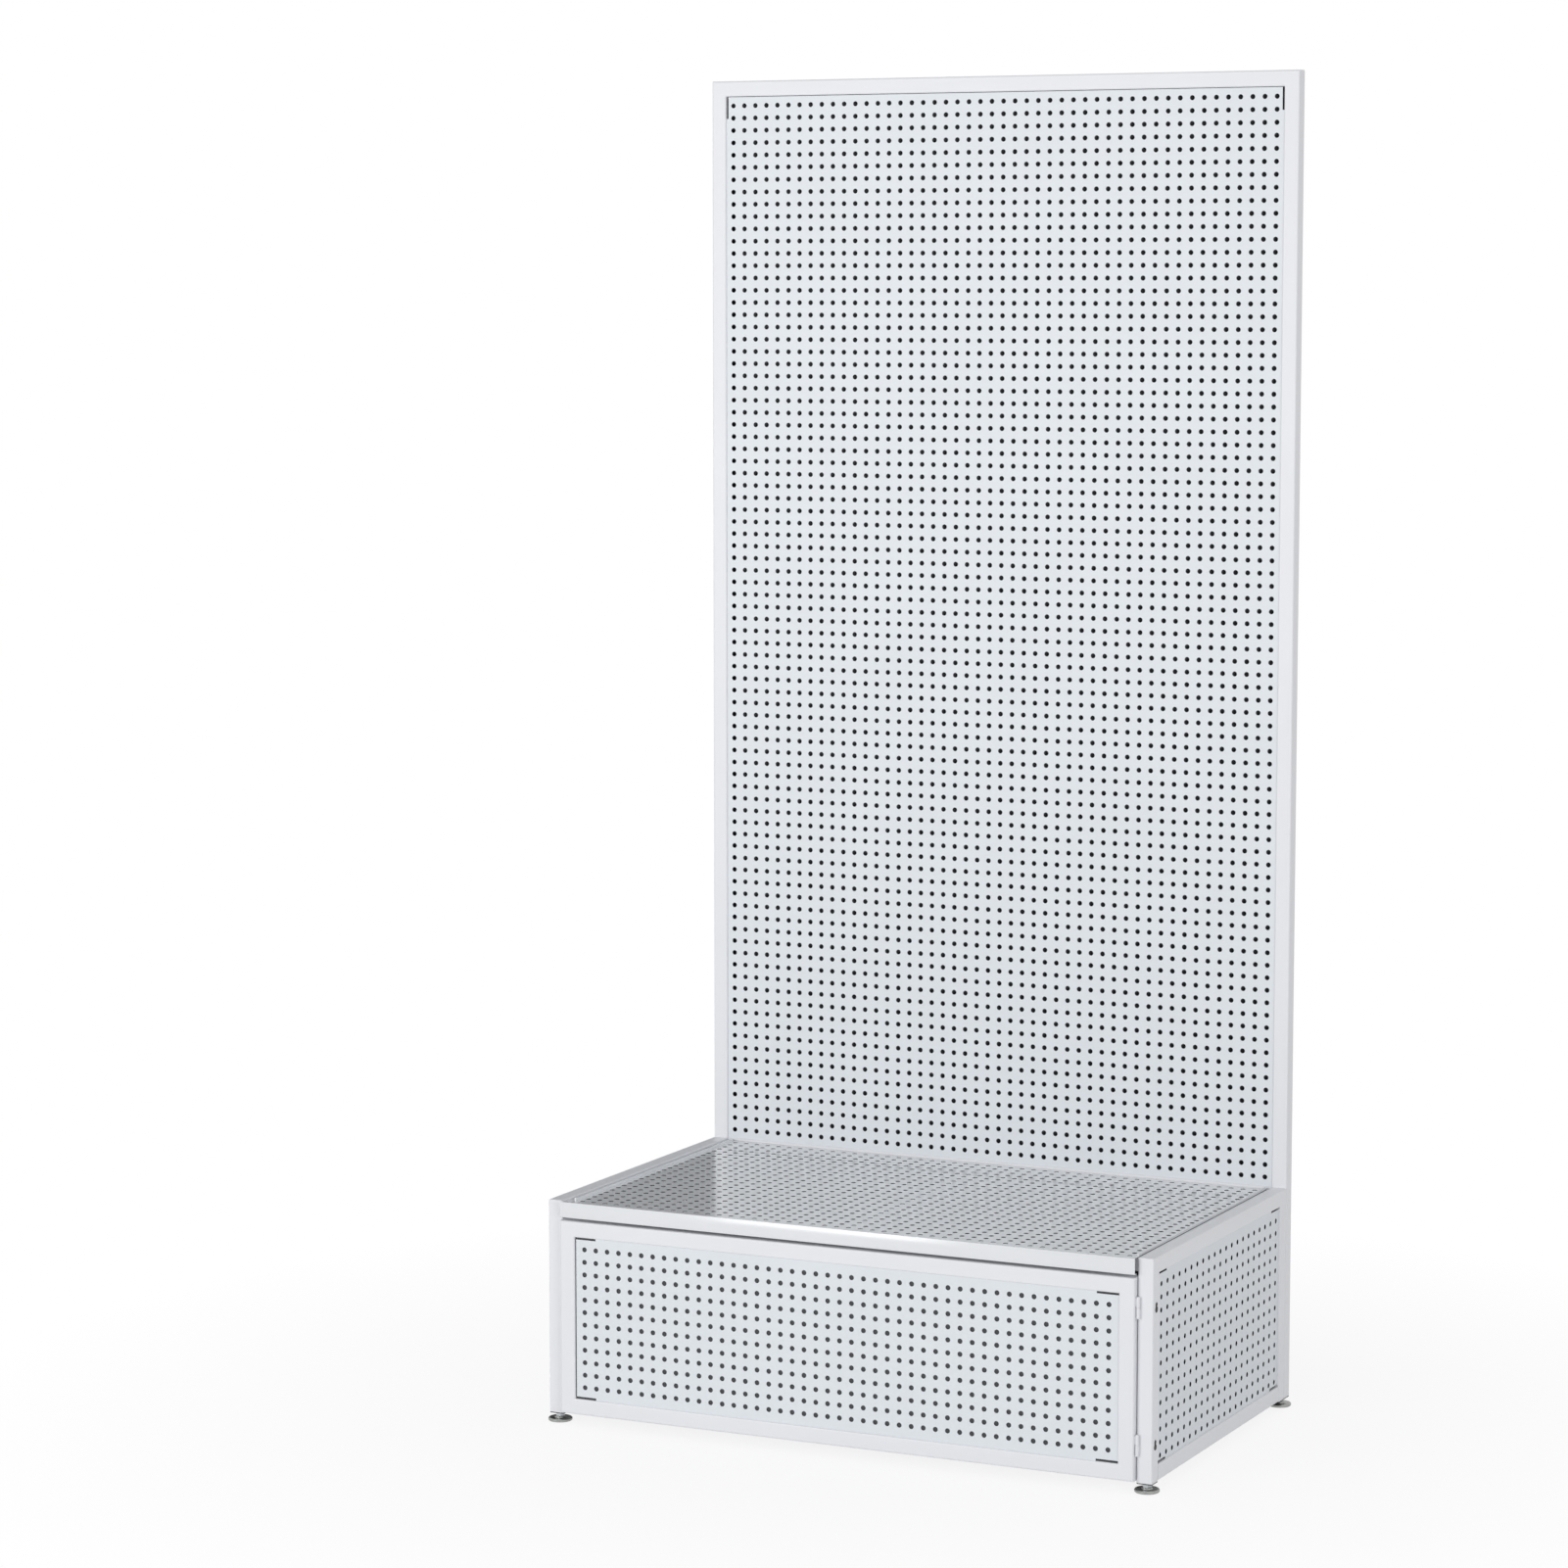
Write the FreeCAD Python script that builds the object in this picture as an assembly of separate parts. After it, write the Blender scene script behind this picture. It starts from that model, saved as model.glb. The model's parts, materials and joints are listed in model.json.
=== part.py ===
import FreeCAD
import Part
import os
from math import cos, pi, sin, sqrt

# Free-standing display rack of white powder-coated steel: a tall upright frame
# filled with perforated panels and closed behind them, and a base cabinet with a
# perforated deck, sides and door. Millimetres, +Z up, +X to the right of someone facing
# the rack, and +Y towards its back. The origin is on the floor, in the middle of the
# footprint.

# Overall sizes
WIDTH = 1015.0
BASE_DEPTH = 580.0
BASE_HEIGHT = 340.0
FRAME_HEIGHT = 2095.0

# Square tube and sheet stock
TUBE = 25.0
TUBE_WALL = 1.5
TUBE_RADIUS = 2.5
TIE = 20.0
TIE_RADIUS = 2.0
SHEET = 1.0

# Perforation
PITCH = 20.0
SIDE_PITCH = 25.0
HOLE = 8.0
EDGE_MARGIN = 10.0
SLIT_LENGTH = 36.0
SLIT_WIDTH = 3.5

# Upright frame
SHEET_SETBACK = 3.0
BACK_PANELS = 5
FIRST_ROW_DROP = 15.0
LAST_ROW_RISE = 6.0

# Deck tray, its apron and what carries it
PROUD = 10.0
APRON_HEIGHT = 25.0
APRON_RETURN = 8.0
APRON_GAP = 1.0
DECK_DROP = 4.0
LIP_THICKNESS = 3.0
LIP_GROOVE = 9.0
DECK_REAR_GAP = 2.0
LEDGE_REACH = 20.0
LEDGE_HEIGHT = 15.0
LEDGE_THICKNESS = 2.0

# Cabinet
SIDE_ROWS_DROP = 5.0
FLOOR_GAP = 0.5
FLOOR_SIDE_GAP = 8.0
TIE_SETBACK = 18.0
KEYHOLE_HEIGHTS = (57.0, 265.0)
KEYHOLE_LOBE = 10.0
KEYHOLE_SLOT = 7.0
KEYHOLE_LENGTH = 16.0

# Door
DOOR_SIDE_GAP = 1.0
DOOR_TOP_GAP = 4.5
DOOR_BOTTOM_GAP = 3.0

# Door hinges, two welded barrel hinges at the right post
HINGE_RADIUS = 2.8
HINGE_GAP = 0.4
HINGE_HALF = 16.0
HINGE_HEIGHTS = (57.0, 265.0)
HINGE_PIN_RADIUS = 1.5
HINGE_PIN_REACH = 11.0
HINGE_PIN_CLEARANCE = 0.05
HINGE_PIN_END_GAP = 1.0
HINGE_WASHER = 0.6
HINGE_WASHER_GAP = 0.2
HINGE_PAD = 4.2
HINGE_END_ROUND = 0.8

# Magnetic catch
CATCH_WIDTH = 40.0
CATCH_DEPTH = 20.0
CATCH_HEIGHT = 20.0
CATCH_FROM_POST = 42.0
CATCH_SCREW_SPACING = 34.0
CATCH_SCREW_RADIUS = 1.75
CATCH_SCREW_HEAD_RADIUS = 3.2
CATCH_SCREW_HEAD = 2.0
CATCH_SCREW_CLEARANCE = 0.1
CATCH_SCREW_END = 4.0
MAGNET_WIDTH = 24.0
MAGNET_HEIGHT = 8.0
MAGNET_DEPTH = 15.0
MAGNET_PROUD = 0.4
STRIKE_WIDTH = 30.0
STRIKE_HEIGHT = 10.0
STRIKE_THICKNESS = 1.5
STRIKE_GAP = 0.3

# Levelling feet, M8
PAD_RADIUS = 19.0
PAD_HEIGHT = 5.0
PAD_RIM = 1.2
BOSS_RADIUS = 8.0
BOSS_RISE = 2.0
BOSS_FLOOR = 2.0
BOSS_NUT_GAP = 0.5
STEM_RADIUS = 4.0
STEM_CLEARANCE = 0.05
STEM_END_GAP = 0.4
STEM_LENGTH = 52.0
NUT_ACROSS = 13.0
NUT_HEIGHT = 6.0
INSERT_FLANGE = 1.5
INSERT_DEPTH = 14.0
INSERT_CLEARANCE = 0.1

# Bolts that join the cabinet to the uprights, M6
BOLT_HEIGHTS = (60.0, 250.0)
BOLT_RADIUS = 3.0
BOLT_CLEARANCE = 0.3
BOLT_ACROSS = 10.0
BOLT_HEAD = 4.0
BOLT_NUT = 5.0
BOLT_NUT_CLEARANCE = 0.05
BOLT_END = 3.0

# Places worked out from the sizes
HALF_WIDTH = WIDTH / 2
POST_INNER = HALF_WIDTH - TUBE
TUBE_CENTRE = HALF_WIDTH - TUBE / 2
FOOTPRINT = PROUD + BASE_DEPTH + TUBE / 2 + PAD_RADIUS
BASE_FRONT = PROUD - FOOTPRINT / 2
UPRIGHT_FRONT = BASE_FRONT + BASE_DEPTH
UPRIGHT_BACK = UPRIGHT_FRONT + TUBE
BOSS_TOP = PAD_HEIGHT + BOSS_RISE
POST_BOTTOM = BOSS_TOP + BOSS_NUT_GAP + NUT_HEIGHT + INSERT_FLANGE
BASE_TOP = POST_BOTTOM + BASE_HEIGHT
FRAME_TOP = POST_BOTTOM + FRAME_HEIGHT
DECK_TOP = BASE_TOP - DECK_DROP
DECK_UNDERSIDE = DECK_TOP - SHEET
RAIL_TOP = POST_BOTTOM + TUBE
RAIL_UNDERSIDE = BASE_TOP - TUBE
LIP_OUTER = POST_INNER - LIP_GROOVE
APRON_FRONT = BASE_FRONT - PROUD
APRON_BOTTOM = BASE_TOP - APRON_HEIGHT
TIE_FRONT = BASE_FRONT + TIE_SETBACK
TIE_UNDERSIDE = DECK_UNDERSIDE - TIE
DOOR_RIGHT = POST_INNER - DOOR_SIDE_GAP
DOOR_FRONT = BASE_FRONT - PROUD
DOOR_BACK = DOOR_FRONT + TUBE
DOOR_BOTTOM = POST_BOTTOM + DOOR_BOTTOM_GAP
DOOR_TOP = APRON_BOTTOM - DOOR_TOP_GAP
HINGE_X = DOOR_RIGHT + HINGE_RADIUS + HINGE_GAP
HINGE_Y = BASE_FRONT - HINGE_RADIUS - HINGE_GAP
CATCH_LEFT = CATCH_FROM_POST - POST_INNER
CATCH_CENTRE = CATCH_LEFT + CATCH_WIDTH / 2
CATCH_FRONT = DOOR_BACK + STRIKE_THICKNESS + STRIKE_GAP + MAGNET_PROUD
CATCH_MIDDLE = TIE_UNDERSIDE - CATCH_HEIGHT / 2
FEET = {
    "front_left": (-TUBE_CENTRE, BASE_FRONT + TUBE / 2),
    "front_right": (TUBE_CENTRE, BASE_FRONT + TUBE / 2),
    "rear_left": (-TUBE_CENTRE, UPRIGHT_FRONT + TUBE / 2),
    "rear_right": (TUBE_CENTRE, UPRIGHT_FRONT + TUBE / 2),
}
SIDES = {"left": -1, "right": 1}


def spot(axis, u, v, w):
    """Point w along an axis and u, v across it: y, z for x; x, z for y; x, y for z."""
    if axis == "x":
        return FreeCAD.Vector(w, u, v)
    if axis == "y":
        return FreeCAD.Vector(u, w, v)
    return FreeCAD.Vector(u, v, w)


def along(axis, length):
    return spot(axis, 0, 0, length)


def inward(axis):
    """Normal of a hole's ring: against the outline's, and u, v is left-handed for y."""
    return along(axis, 1 if axis == "y" else -1)


def box(x0, x1, y0, y1, z0, z1):
    return Part.makeBox(x1 - x0, y1 - y0, z1 - z0, FreeCAD.Vector(x0, y0, z0))


def fused(*shapes):
    return shapes[0].fuse(list(shapes[1:])).removeSplitter()


def loop(axis, outline, w):
    """Closed wire through the (u, v) points of an outline."""
    points = [spot(axis, u, v, w) for u, v in outline]
    return Part.makePolygon(points + points[:1])


def prism(axis, outline, start, end):
    return Part.Face(loop(axis, outline, start)).extrude(along(axis, end - start))


def rounded_loop(axis, low, high, radius, w):
    """Closed wire of a rectangle with round corners."""
    (u0, v0), (u1, v1) = low, high
    turn = radius * (1 - sqrt(0.5))
    sides = [
        ((u0 + radius, v0), (u1 - radius, v0), (u1 - turn, v0 + turn), (u1, v0 + radius)),
        ((u1, v0 + radius), (u1, v1 - radius), (u1 - turn, v1 - turn), (u1 - radius, v1)),
        ((u1 - radius, v1), (u0 + radius, v1), (u0 + turn, v1 - turn), (u0, v1 - radius)),
        ((u0, v1 - radius), (u0, v0 + radius), (u0 + turn, v0 + turn), (u0 + radius, v0)),
    ]
    edges = []
    for start, bend, middle, end in sides:
        a, b, c, d = [spot(axis, u, v, w) for u, v in (start, bend, middle, end)]
        edges.append(Part.LineSegment(a, b).toShape())
        edges.append(Part.Arc(b, c, d).toShape())
    return Part.Wire(edges)


def tube(axis, low, start, end, size=TUBE, radius=TUBE_RADIUS):
    """Square tube along an axis, with its lowest (u, v) corner at low."""
    high = (low[0] + size, low[1] + size)
    inner_low = (low[0] + TUBE_WALL, low[1] + TUBE_WALL)
    inner_high = (high[0] - TUBE_WALL, high[1] - TUBE_WALL)
    outside = rounded_loop(axis, low, high, radius, start)
    inside = rounded_loop(axis, inner_low, inner_high, radius - TUBE_WALL, start)
    inside.reverse()
    return Part.Face([outside, inside]).extrude(along(axis, end - start))


def mitred(shape, axis, inner, outer, keeps):
    """Cut a frame member along the line from a corner's inner to its outer point.
    A member that keeps "v" runs along v, and one that keeps "u" runs along u."""
    du = outer[0] - inner[0]
    dv = outer[1] - inner[1]
    near = (inner[0] - du, inner[1] - dv)
    far = (outer[0] + du, outer[1] + dv)
    third = (near[0], far[1]) if keeps == "v" else (far[0], near[1])
    bounds = shape.BoundBox
    ends = {
        "x": (bounds.XMin, bounds.XMax),
        "y": (bounds.YMin, bounds.YMax),
        "z": (bounds.ZMin, bounds.ZMax),
    }[axis]
    return shape.cut(prism(axis, [near, far, third], ends[0] - 1, ends[1] + 1))


def centred(low, high, pitch=PITCH):
    """Hole places at a pitch, centred between two edges."""
    count = int((high - low - 2 * EDGE_MARGIN) / pitch + 1e-6) + 1
    first = (low + high - (count - 1) * pitch) / 2
    return [first + i * pitch for i in range(count)]


def perforated(axis, outline, columns, rows, start):
    """Sheet with round holes where the columns cross the rows."""
    wires = [loop(axis, outline, start)]
    for u in columns:
        for v in rows:
            ring = Part.Circle(spot(axis, u, v, start), inward(axis), HOLE / 2)
            wires.append(Part.Wire(ring.toShape()))
    return Part.Face(wires).extrude(along(axis, SHEET))


def slitted_outline(u0, u1, v0, v1):
    """Rectangle with a slit along u at each of its four corners."""
    return [
        (u0, v0 + SLIT_WIDTH),
        (u0 + SLIT_LENGTH, v0 + SLIT_WIDTH),
        (u0 + SLIT_LENGTH, v0),
        (u1 - SLIT_LENGTH, v0),
        (u1 - SLIT_LENGTH, v0 + SLIT_WIDTH),
        (u1, v0 + SLIT_WIDTH),
        (u1, v1 - SLIT_WIDTH),
        (u1 - SLIT_LENGTH, v1 - SLIT_WIDTH),
        (u1 - SLIT_LENGTH, v1),
        (u0 + SLIT_LENGTH, v1),
        (u0 + SLIT_LENGTH, v1 - SLIT_WIDTH),
        (u0, v1 - SLIT_WIDTH),
    ]


def hexagon(across, x, y):
    """Corner points of a hexagon with the given width across its flats."""
    reach = across / sqrt(3)
    return [(x + reach * cos(i * pi / 3), y + reach * sin(i * pi / 3)) for i in range(6)]


def cylinder(axis, u, v, start, end, radius):
    return Part.makeCylinder(radius, end - start, spot(axis, u, v, start), along(axis, 1))


def bolt_bores(side):
    """Holes through an upright and the cabinet's rear post for the joining bolts."""
    shapes = []
    for height in BOLT_HEIGHTS:
        radius = BOLT_RADIUS + BOLT_CLEARANCE
        z = POST_BOTTOM + height
        start = UPRIGHT_FRONT - TUBE - 1
        shapes.append(cylinder("y", side * TUBE_CENTRE, z, start, UPRIGHT_BACK + 1, radius))
    return shapes


def upright(side):
    low = (min(side * HALF_WIDTH, side * POST_INNER), UPRIGHT_FRONT)
    shape = tube("z", low, POST_BOTTOM, FRAME_TOP)
    inner = (side * POST_INNER, FRAME_TOP - TUBE)
    outer = (side * HALF_WIDTH, FRAME_TOP)
    return mitred(shape, "y", inner, outer, "v").cut(bolt_bores(side))


def upright_top_rail():
    shape = tube("x", (UPRIGHT_FRONT, FRAME_TOP - TUBE), -HALF_WIDTH, HALF_WIDTH)
    for side in SIDES.values():
        inner = (side * POST_INNER, FRAME_TOP - TUBE)
        outer = (side * HALF_WIDTH, FRAME_TOP)
        shape = mitred(shape, "y", inner, outer, "u")
    return shape


def upright_cross_rail(bottom):
    return tube("x", (UPRIGHT_FRONT, bottom), -POST_INNER, POST_INNER)


def back_rows():
    """Heights of all rows of holes above the deck, from the top one down."""
    first = FRAME_TOP - TUBE - FIRST_ROW_DROP
    count = int((first - BASE_TOP - LAST_ROW_RISE) / PITCH + 1e-6) + 1
    return [first - i * PITCH for i in range(count)]


def back_panels():
    """Stacked panels from the top rail down to the middle rail."""
    rows = back_rows()
    share = -(-len(rows) // BACK_PANELS)
    columns = centred(-POST_INNER, POST_INNER)
    left = -POST_INNER
    right = POST_INNER
    top = FRAME_TOP - TUBE
    shapes = {}
    for i in range(BACK_PANELS):
        own = rows[i * share:(i + 1) * share]
        last = i == BACK_PANELS - 1
        bottom = BASE_TOP if last else own[-1] - PITCH / 2
        outline = [(left, bottom), (right, bottom), (right, top), (left, top)]
        if i == 0:
            outline[2:] = [
                (right, top - SLIT_LENGTH),
                (right - SLIT_WIDTH, top - SLIT_LENGTH),
                (right - SLIT_WIDTH, top),
                (left + SLIT_WIDTH, top),
                (left + SLIT_WIDTH, top - SLIT_LENGTH),
                (left, top - SLIT_LENGTH),
            ]
        name = "back_panel_%d" % (i + 1)
        shapes[name] = perforated("y", outline, columns, own, UPRIGHT_FRONT + SHEET_SETBACK)
        top = bottom
    return shapes


def back_panel_lower():
    front = UPRIGHT_FRONT + SHEET_SETBACK
    return box(-POST_INNER, POST_INNER, front, front + SHEET, RAIL_TOP, RAIL_UNDERSIDE)


def back_cover():
    """Plain sheet that closes the frame behind the perforated panels."""
    rear = UPRIGHT_BACK - SHEET_SETBACK
    top = FRAME_TOP - TUBE
    return box(-POST_INNER, POST_INNER, rear - SHEET, rear, BASE_TOP, top)


def keyhole(side, height):
    """Prism that cuts a keyhole, round end down, in a front post's outer wall."""
    y = BASE_FRONT + TUBE / 2
    low = POST_BOTTOM + height - KEYHOLE_LENGTH / 2 + KEYHOLE_LOBE / 2
    high = POST_BOTTOM + height + KEYHOLE_LENGTH / 2 - KEYHOLE_SLOT / 2
    start = side * HALF_WIDTH - 2 * TUBE_WALL + TUBE_WALL * (1 - side) / 2
    end = start + 3 * TUBE_WALL
    half_slot = KEYHOLE_SLOT / 2
    return fused(
        cylinder("x", y, low, start, end, KEYHOLE_LOBE / 2),
        cylinder("x", y, high, start, end, half_slot),
        box(start, end, y - half_slot, y + half_slot, low, high),
    )


def base_post_front(side):
    low = (min(side * HALF_WIDTH, side * POST_INNER), BASE_FRONT)
    shape = tube("z", low, POST_BOTTOM, BASE_TOP)
    inner = (BASE_FRONT + TUBE, RAIL_UNDERSIDE)
    shape = mitred(shape, "x", inner, (BASE_FRONT, BASE_TOP), "v")
    return shape.cut([keyhole(side, height) for height in KEYHOLE_HEIGHTS])


def base_post_rear(side):
    low = (min(side * HALF_WIDTH, side * POST_INNER), UPRIGHT_FRONT - TUBE)
    shape = tube("z", low, POST_BOTTOM, BASE_TOP)
    inner = (UPRIGHT_FRONT - TUBE, RAIL_UNDERSIDE)
    shape = mitred(shape, "x", inner, (UPRIGHT_FRONT, BASE_TOP), "v")
    return shape.cut(bolt_bores(side))


def side_rail_top(side):
    low = (min(side * HALF_WIDTH, side * POST_INNER), RAIL_UNDERSIDE)
    shape = tube("y", low, BASE_FRONT, UPRIGHT_FRONT)
    front = (BASE_FRONT + TUBE, RAIL_UNDERSIDE)
    rear = (UPRIGHT_FRONT - TUBE, RAIL_UNDERSIDE)
    shape = mitred(shape, "x", front, (BASE_FRONT, BASE_TOP), "u")
    return mitred(shape, "x", rear, (UPRIGHT_FRONT, BASE_TOP), "u")


def side_rail_bottom(side):
    low = (min(side * HALF_WIDTH, side * POST_INNER), POST_BOTTOM)
    return tube("y", low, BASE_FRONT + TUBE, UPRIGHT_FRONT - TUBE)


def side_panel(side):
    front = BASE_FRONT + TUBE
    rear = UPRIGHT_FRONT - TUBE
    rows = [z - SIDE_ROWS_DROP for z in centred(RAIL_TOP, RAIL_UNDERSIDE)]
    outside = HALF_WIDTH - SHEET_SETBACK
    start = outside - SHEET if side > 0 else -outside
    outline = slitted_outline(front, rear, RAIL_TOP, RAIL_UNDERSIDE)
    return perforated("x", outline, centred(front, rear, SIDE_PITCH), rows, start)


def tie(front, bottom):
    return tube("x", (front, bottom), -POST_INNER, POST_INNER, TIE, TIE_RADIUS)


def front_tie_top():
    """Tie behind the door's top edge, drilled for the catch's screws."""
    shape = tie(TIE_FRONT, TIE_UNDERSIDE)
    y = CATCH_FRONT + CATCH_DEPTH / 2
    radius = CATCH_SCREW_RADIUS + CATCH_SCREW_CLEARANCE
    for x in catch_screw_places():
        drill = cylinder("z", x, y, TIE_UNDERSIDE - 1, TIE_UNDERSIDE + 2 * TUBE_WALL, radius)
        shape = shape.cut(drill)
    return shape


def deck_tray():
    """Perforated deck with raised lips at its sides and a folded apron in front."""
    rear = UPRIGHT_FRONT - DECK_REAR_GAP
    inside = APRON_FRONT + SHEET
    lip_inner = LIP_OUTER - LIP_THICKNESS
    outline = [(-LIP_OUTER, inside), (LIP_OUTER, inside), (LIP_OUTER, rear), (-LIP_OUTER, rear)]
    columns = centred(-lip_inner, lip_inner)
    rows = centred(inside, rear)
    plate = perforated("z", outline, columns, rows, DECK_UNDERSIDE)
    apron_end = POST_INNER - APRON_GAP
    back = inside + APRON_RETURN
    lip_front = BASE_FRONT + TUBE
    return fused(
        plate,
        box(-apron_end, apron_end, APRON_FRONT, inside, APRON_BOTTOM, BASE_TOP),
        box(-apron_end, apron_end, inside, back, APRON_BOTTOM, APRON_BOTTOM + SHEET),
        box(lip_inner, LIP_OUTER, lip_front, rear, DECK_TOP, BASE_TOP),
        box(-LIP_OUTER, -lip_inner, lip_front, rear, DECK_TOP, BASE_TOP),
    )


def deck_ledge(side):
    """Angle welded to the side rail's inner face, under the deck's edge."""
    rear = UPRIGHT_FRONT - TUBE
    x = side * POST_INNER
    leg = sorted((x, x - side * LEDGE_THICKNESS))
    shelf = sorted((x, x - side * LEDGE_REACH))
    bottom = DECK_UNDERSIDE - LEDGE_HEIGHT
    start = TIE_FRONT + TIE
    return fused(
        box(leg[0], leg[1], start, rear, bottom, DECK_UNDERSIDE),
        box(shelf[0], shelf[1], start, rear, DECK_UNDERSIDE - LEDGE_THICKNESS, DECK_UNDERSIDE),
    )


def deck_bearer():
    low = (-TIE / 2, TIE_UNDERSIDE)
    return tube("y", low, TIE_FRONT + TIE, UPRIGHT_FRONT - TIE, TIE, TIE_RADIUS)


def cabinet_floor():
    half = HALF_WIDTH - SHEET_SETBACK - SHEET - FLOOR_SIDE_GAP
    front = BASE_FRONT + TUBE + FLOOR_GAP
    rear = UPRIGHT_FRONT - TUBE - FLOOR_GAP
    return box(-half, half, front, rear, RAIL_TOP, RAIL_TOP + SHEET)


def door_member(name):
    """One of the four mitred tubes of the door's frame."""
    left, right, bottom, top = -DOOR_RIGHT, DOOR_RIGHT, DOOR_BOTTOM, DOOR_TOP
    shapes = {
        "door_stile_left": tube("z", (left, DOOR_FRONT), bottom, top),
        "door_stile_right": tube("z", (right - TUBE, DOOR_FRONT), bottom, top),
        "door_rail_bottom": tube("x", (DOOR_FRONT, bottom), left, right),
        "door_rail_top": tube("x", (DOOR_FRONT, top - TUBE), left, right),
    }
    shape = shapes[name]
    keeps = "v" if "stile" in name else "u"
    for x, inner_x in ((left, left + TUBE), (right, right - TUBE)):
        for z, inner_z in ((bottom, bottom + TUBE), (top, top - TUBE)):
            shape = mitred(shape, "y", (inner_x, inner_z), (x, z), keeps)
    return shape


def door_panel():
    half = DOOR_RIGHT - TUBE
    bottom = DOOR_BOTTOM + TUBE
    top = DOOR_TOP - TUBE
    outline = slitted_outline(-half, half, bottom, top)
    columns = centred(-half, half)
    return perforated("y", outline, columns, centred(bottom, top), DOOR_FRONT + SHEET_SETBACK)


def hinge_post_half(height):
    """Lower barrel, bored for its pin, with the pad that is welded to the post."""
    top = POST_BOTTOM + height
    bottom = top - HINGE_HALF
    barrel = cylinder("z", HINGE_X, HINGE_Y, bottom, top, HINGE_RADIUS)
    barrel = barrel.makeFillet(HINGE_END_ROUND, ring_edges(barrel, bottom))
    half = HINGE_PAD / 2
    pad = box(POST_INNER, HINGE_X + half, HINGE_Y, BASE_FRONT, bottom + half, top - half)
    bore = cylinder("z", HINGE_X, HINGE_Y, top - HINGE_PIN_REACH, top + 1, HINGE_PIN_RADIUS)
    return fused(barrel, pad).cut(bore)


def hinge_door_half(height):
    """Upper barrel, with a blind bore that turns on the pin, and its welded pad."""
    bottom = POST_BOTTOM + height + HINGE_WASHER + HINGE_WASHER_GAP
    top = bottom + HINGE_HALF
    barrel = cylinder("z", HINGE_X, HINGE_Y, bottom, top, HINGE_RADIUS)
    barrel = barrel.makeFillet(HINGE_END_ROUND, ring_edges(barrel, top))
    half = HINGE_PAD / 2
    pad = box(DOOR_RIGHT, HINGE_X, HINGE_Y - half, HINGE_Y + half, bottom + half, top - half)
    radius = HINGE_PIN_RADIUS + HINGE_PIN_CLEARANCE
    depth = POST_BOTTOM + height + HINGE_PIN_REACH + HINGE_PIN_END_GAP
    return fused(barrel, pad).cut(cylinder("z", HINGE_X, HINGE_Y, bottom - 1, depth, radius))


def ring_edges(shape, z):
    """Circular edges of a shape that lie at a height."""
    return [e for e in shape.Edges if abs(e.BoundBox.ZMin - z) + abs(e.BoundBox.ZMax - z) < 1e-6]


def hinge_pins():
    shapes = []
    for height in HINGE_HEIGHTS:
        z = POST_BOTTOM + height
        start = z - HINGE_PIN_REACH
        shapes.append(cylinder("z", HINGE_X, HINGE_Y, start, z + HINGE_PIN_REACH, HINGE_PIN_RADIUS))
    return Part.makeCompound(shapes)


def hinge_washers():
    shapes = []
    for height in HINGE_HEIGHTS:
        z = POST_BOTTOM + height
        radius = HINGE_PIN_RADIUS + HINGE_PIN_CLEARANCE
        ring = cylinder("z", HINGE_X, HINGE_Y, z, z + HINGE_WASHER, HINGE_RADIUS)
        shapes.append(ring.cut(cylinder("z", HINGE_X, HINGE_Y, z - 1, z + HINGE_WASHER + 1, radius)))
    return Part.makeCompound(shapes)


def catch_screw_places():
    half = CATCH_SCREW_SPACING / 2
    return (CATCH_CENTRE - half, CATCH_CENTRE + half)


def magnet_block():
    front = CATCH_FRONT - MAGNET_PROUD
    half_width = MAGNET_WIDTH / 2
    half_height = MAGNET_HEIGHT / 2
    return box(
        CATCH_CENTRE - half_width, CATCH_CENTRE + half_width,
        front, front + MAGNET_DEPTH,
        CATCH_MIDDLE - half_height, CATCH_MIDDLE + half_height,
    )


def catch_body():
    right = CATCH_LEFT + CATCH_WIDTH
    rear = CATCH_FRONT + CATCH_DEPTH
    bottom = TIE_UNDERSIDE - CATCH_HEIGHT
    shape = box(CATCH_LEFT, right, CATCH_FRONT, rear, bottom, TIE_UNDERSIDE).cut(magnet_block())
    y = (CATCH_FRONT + rear) / 2
    radius = CATCH_SCREW_RADIUS + CATCH_SCREW_CLEARANCE
    drills = [cylinder("z", x, y, bottom - 1, TIE_UNDERSIDE + 1, radius) for x in catch_screw_places()]
    return shape.cut(drills)


def catch_screws():
    bottom = TIE_UNDERSIDE - CATCH_HEIGHT
    y = CATCH_FRONT + CATCH_DEPTH / 2
    shapes = []
    for x in catch_screw_places():
        end = TIE_UNDERSIDE + CATCH_SCREW_END
        head_bottom = bottom - CATCH_SCREW_HEAD
        head = cylinder("z", x, y, head_bottom, bottom, CATCH_SCREW_HEAD_RADIUS)
        head = head.makeFillet(CATCH_SCREW_HEAD / 2, ring_edges(head, head_bottom))
        shapes.append(fused(head, cylinder("z", x, y, bottom, end, CATCH_SCREW_RADIUS)))
    return Part.makeCompound(shapes)


def strike_plate():
    left = CATCH_CENTRE - STRIKE_WIDTH / 2
    bottom = CATCH_MIDDLE - STRIKE_HEIGHT / 2
    rear = DOOR_BACK + STRIKE_THICKNESS
    return box(left, left + STRIKE_WIDTH, DOOR_BACK, rear, bottom, bottom + STRIKE_HEIGHT)


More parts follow.
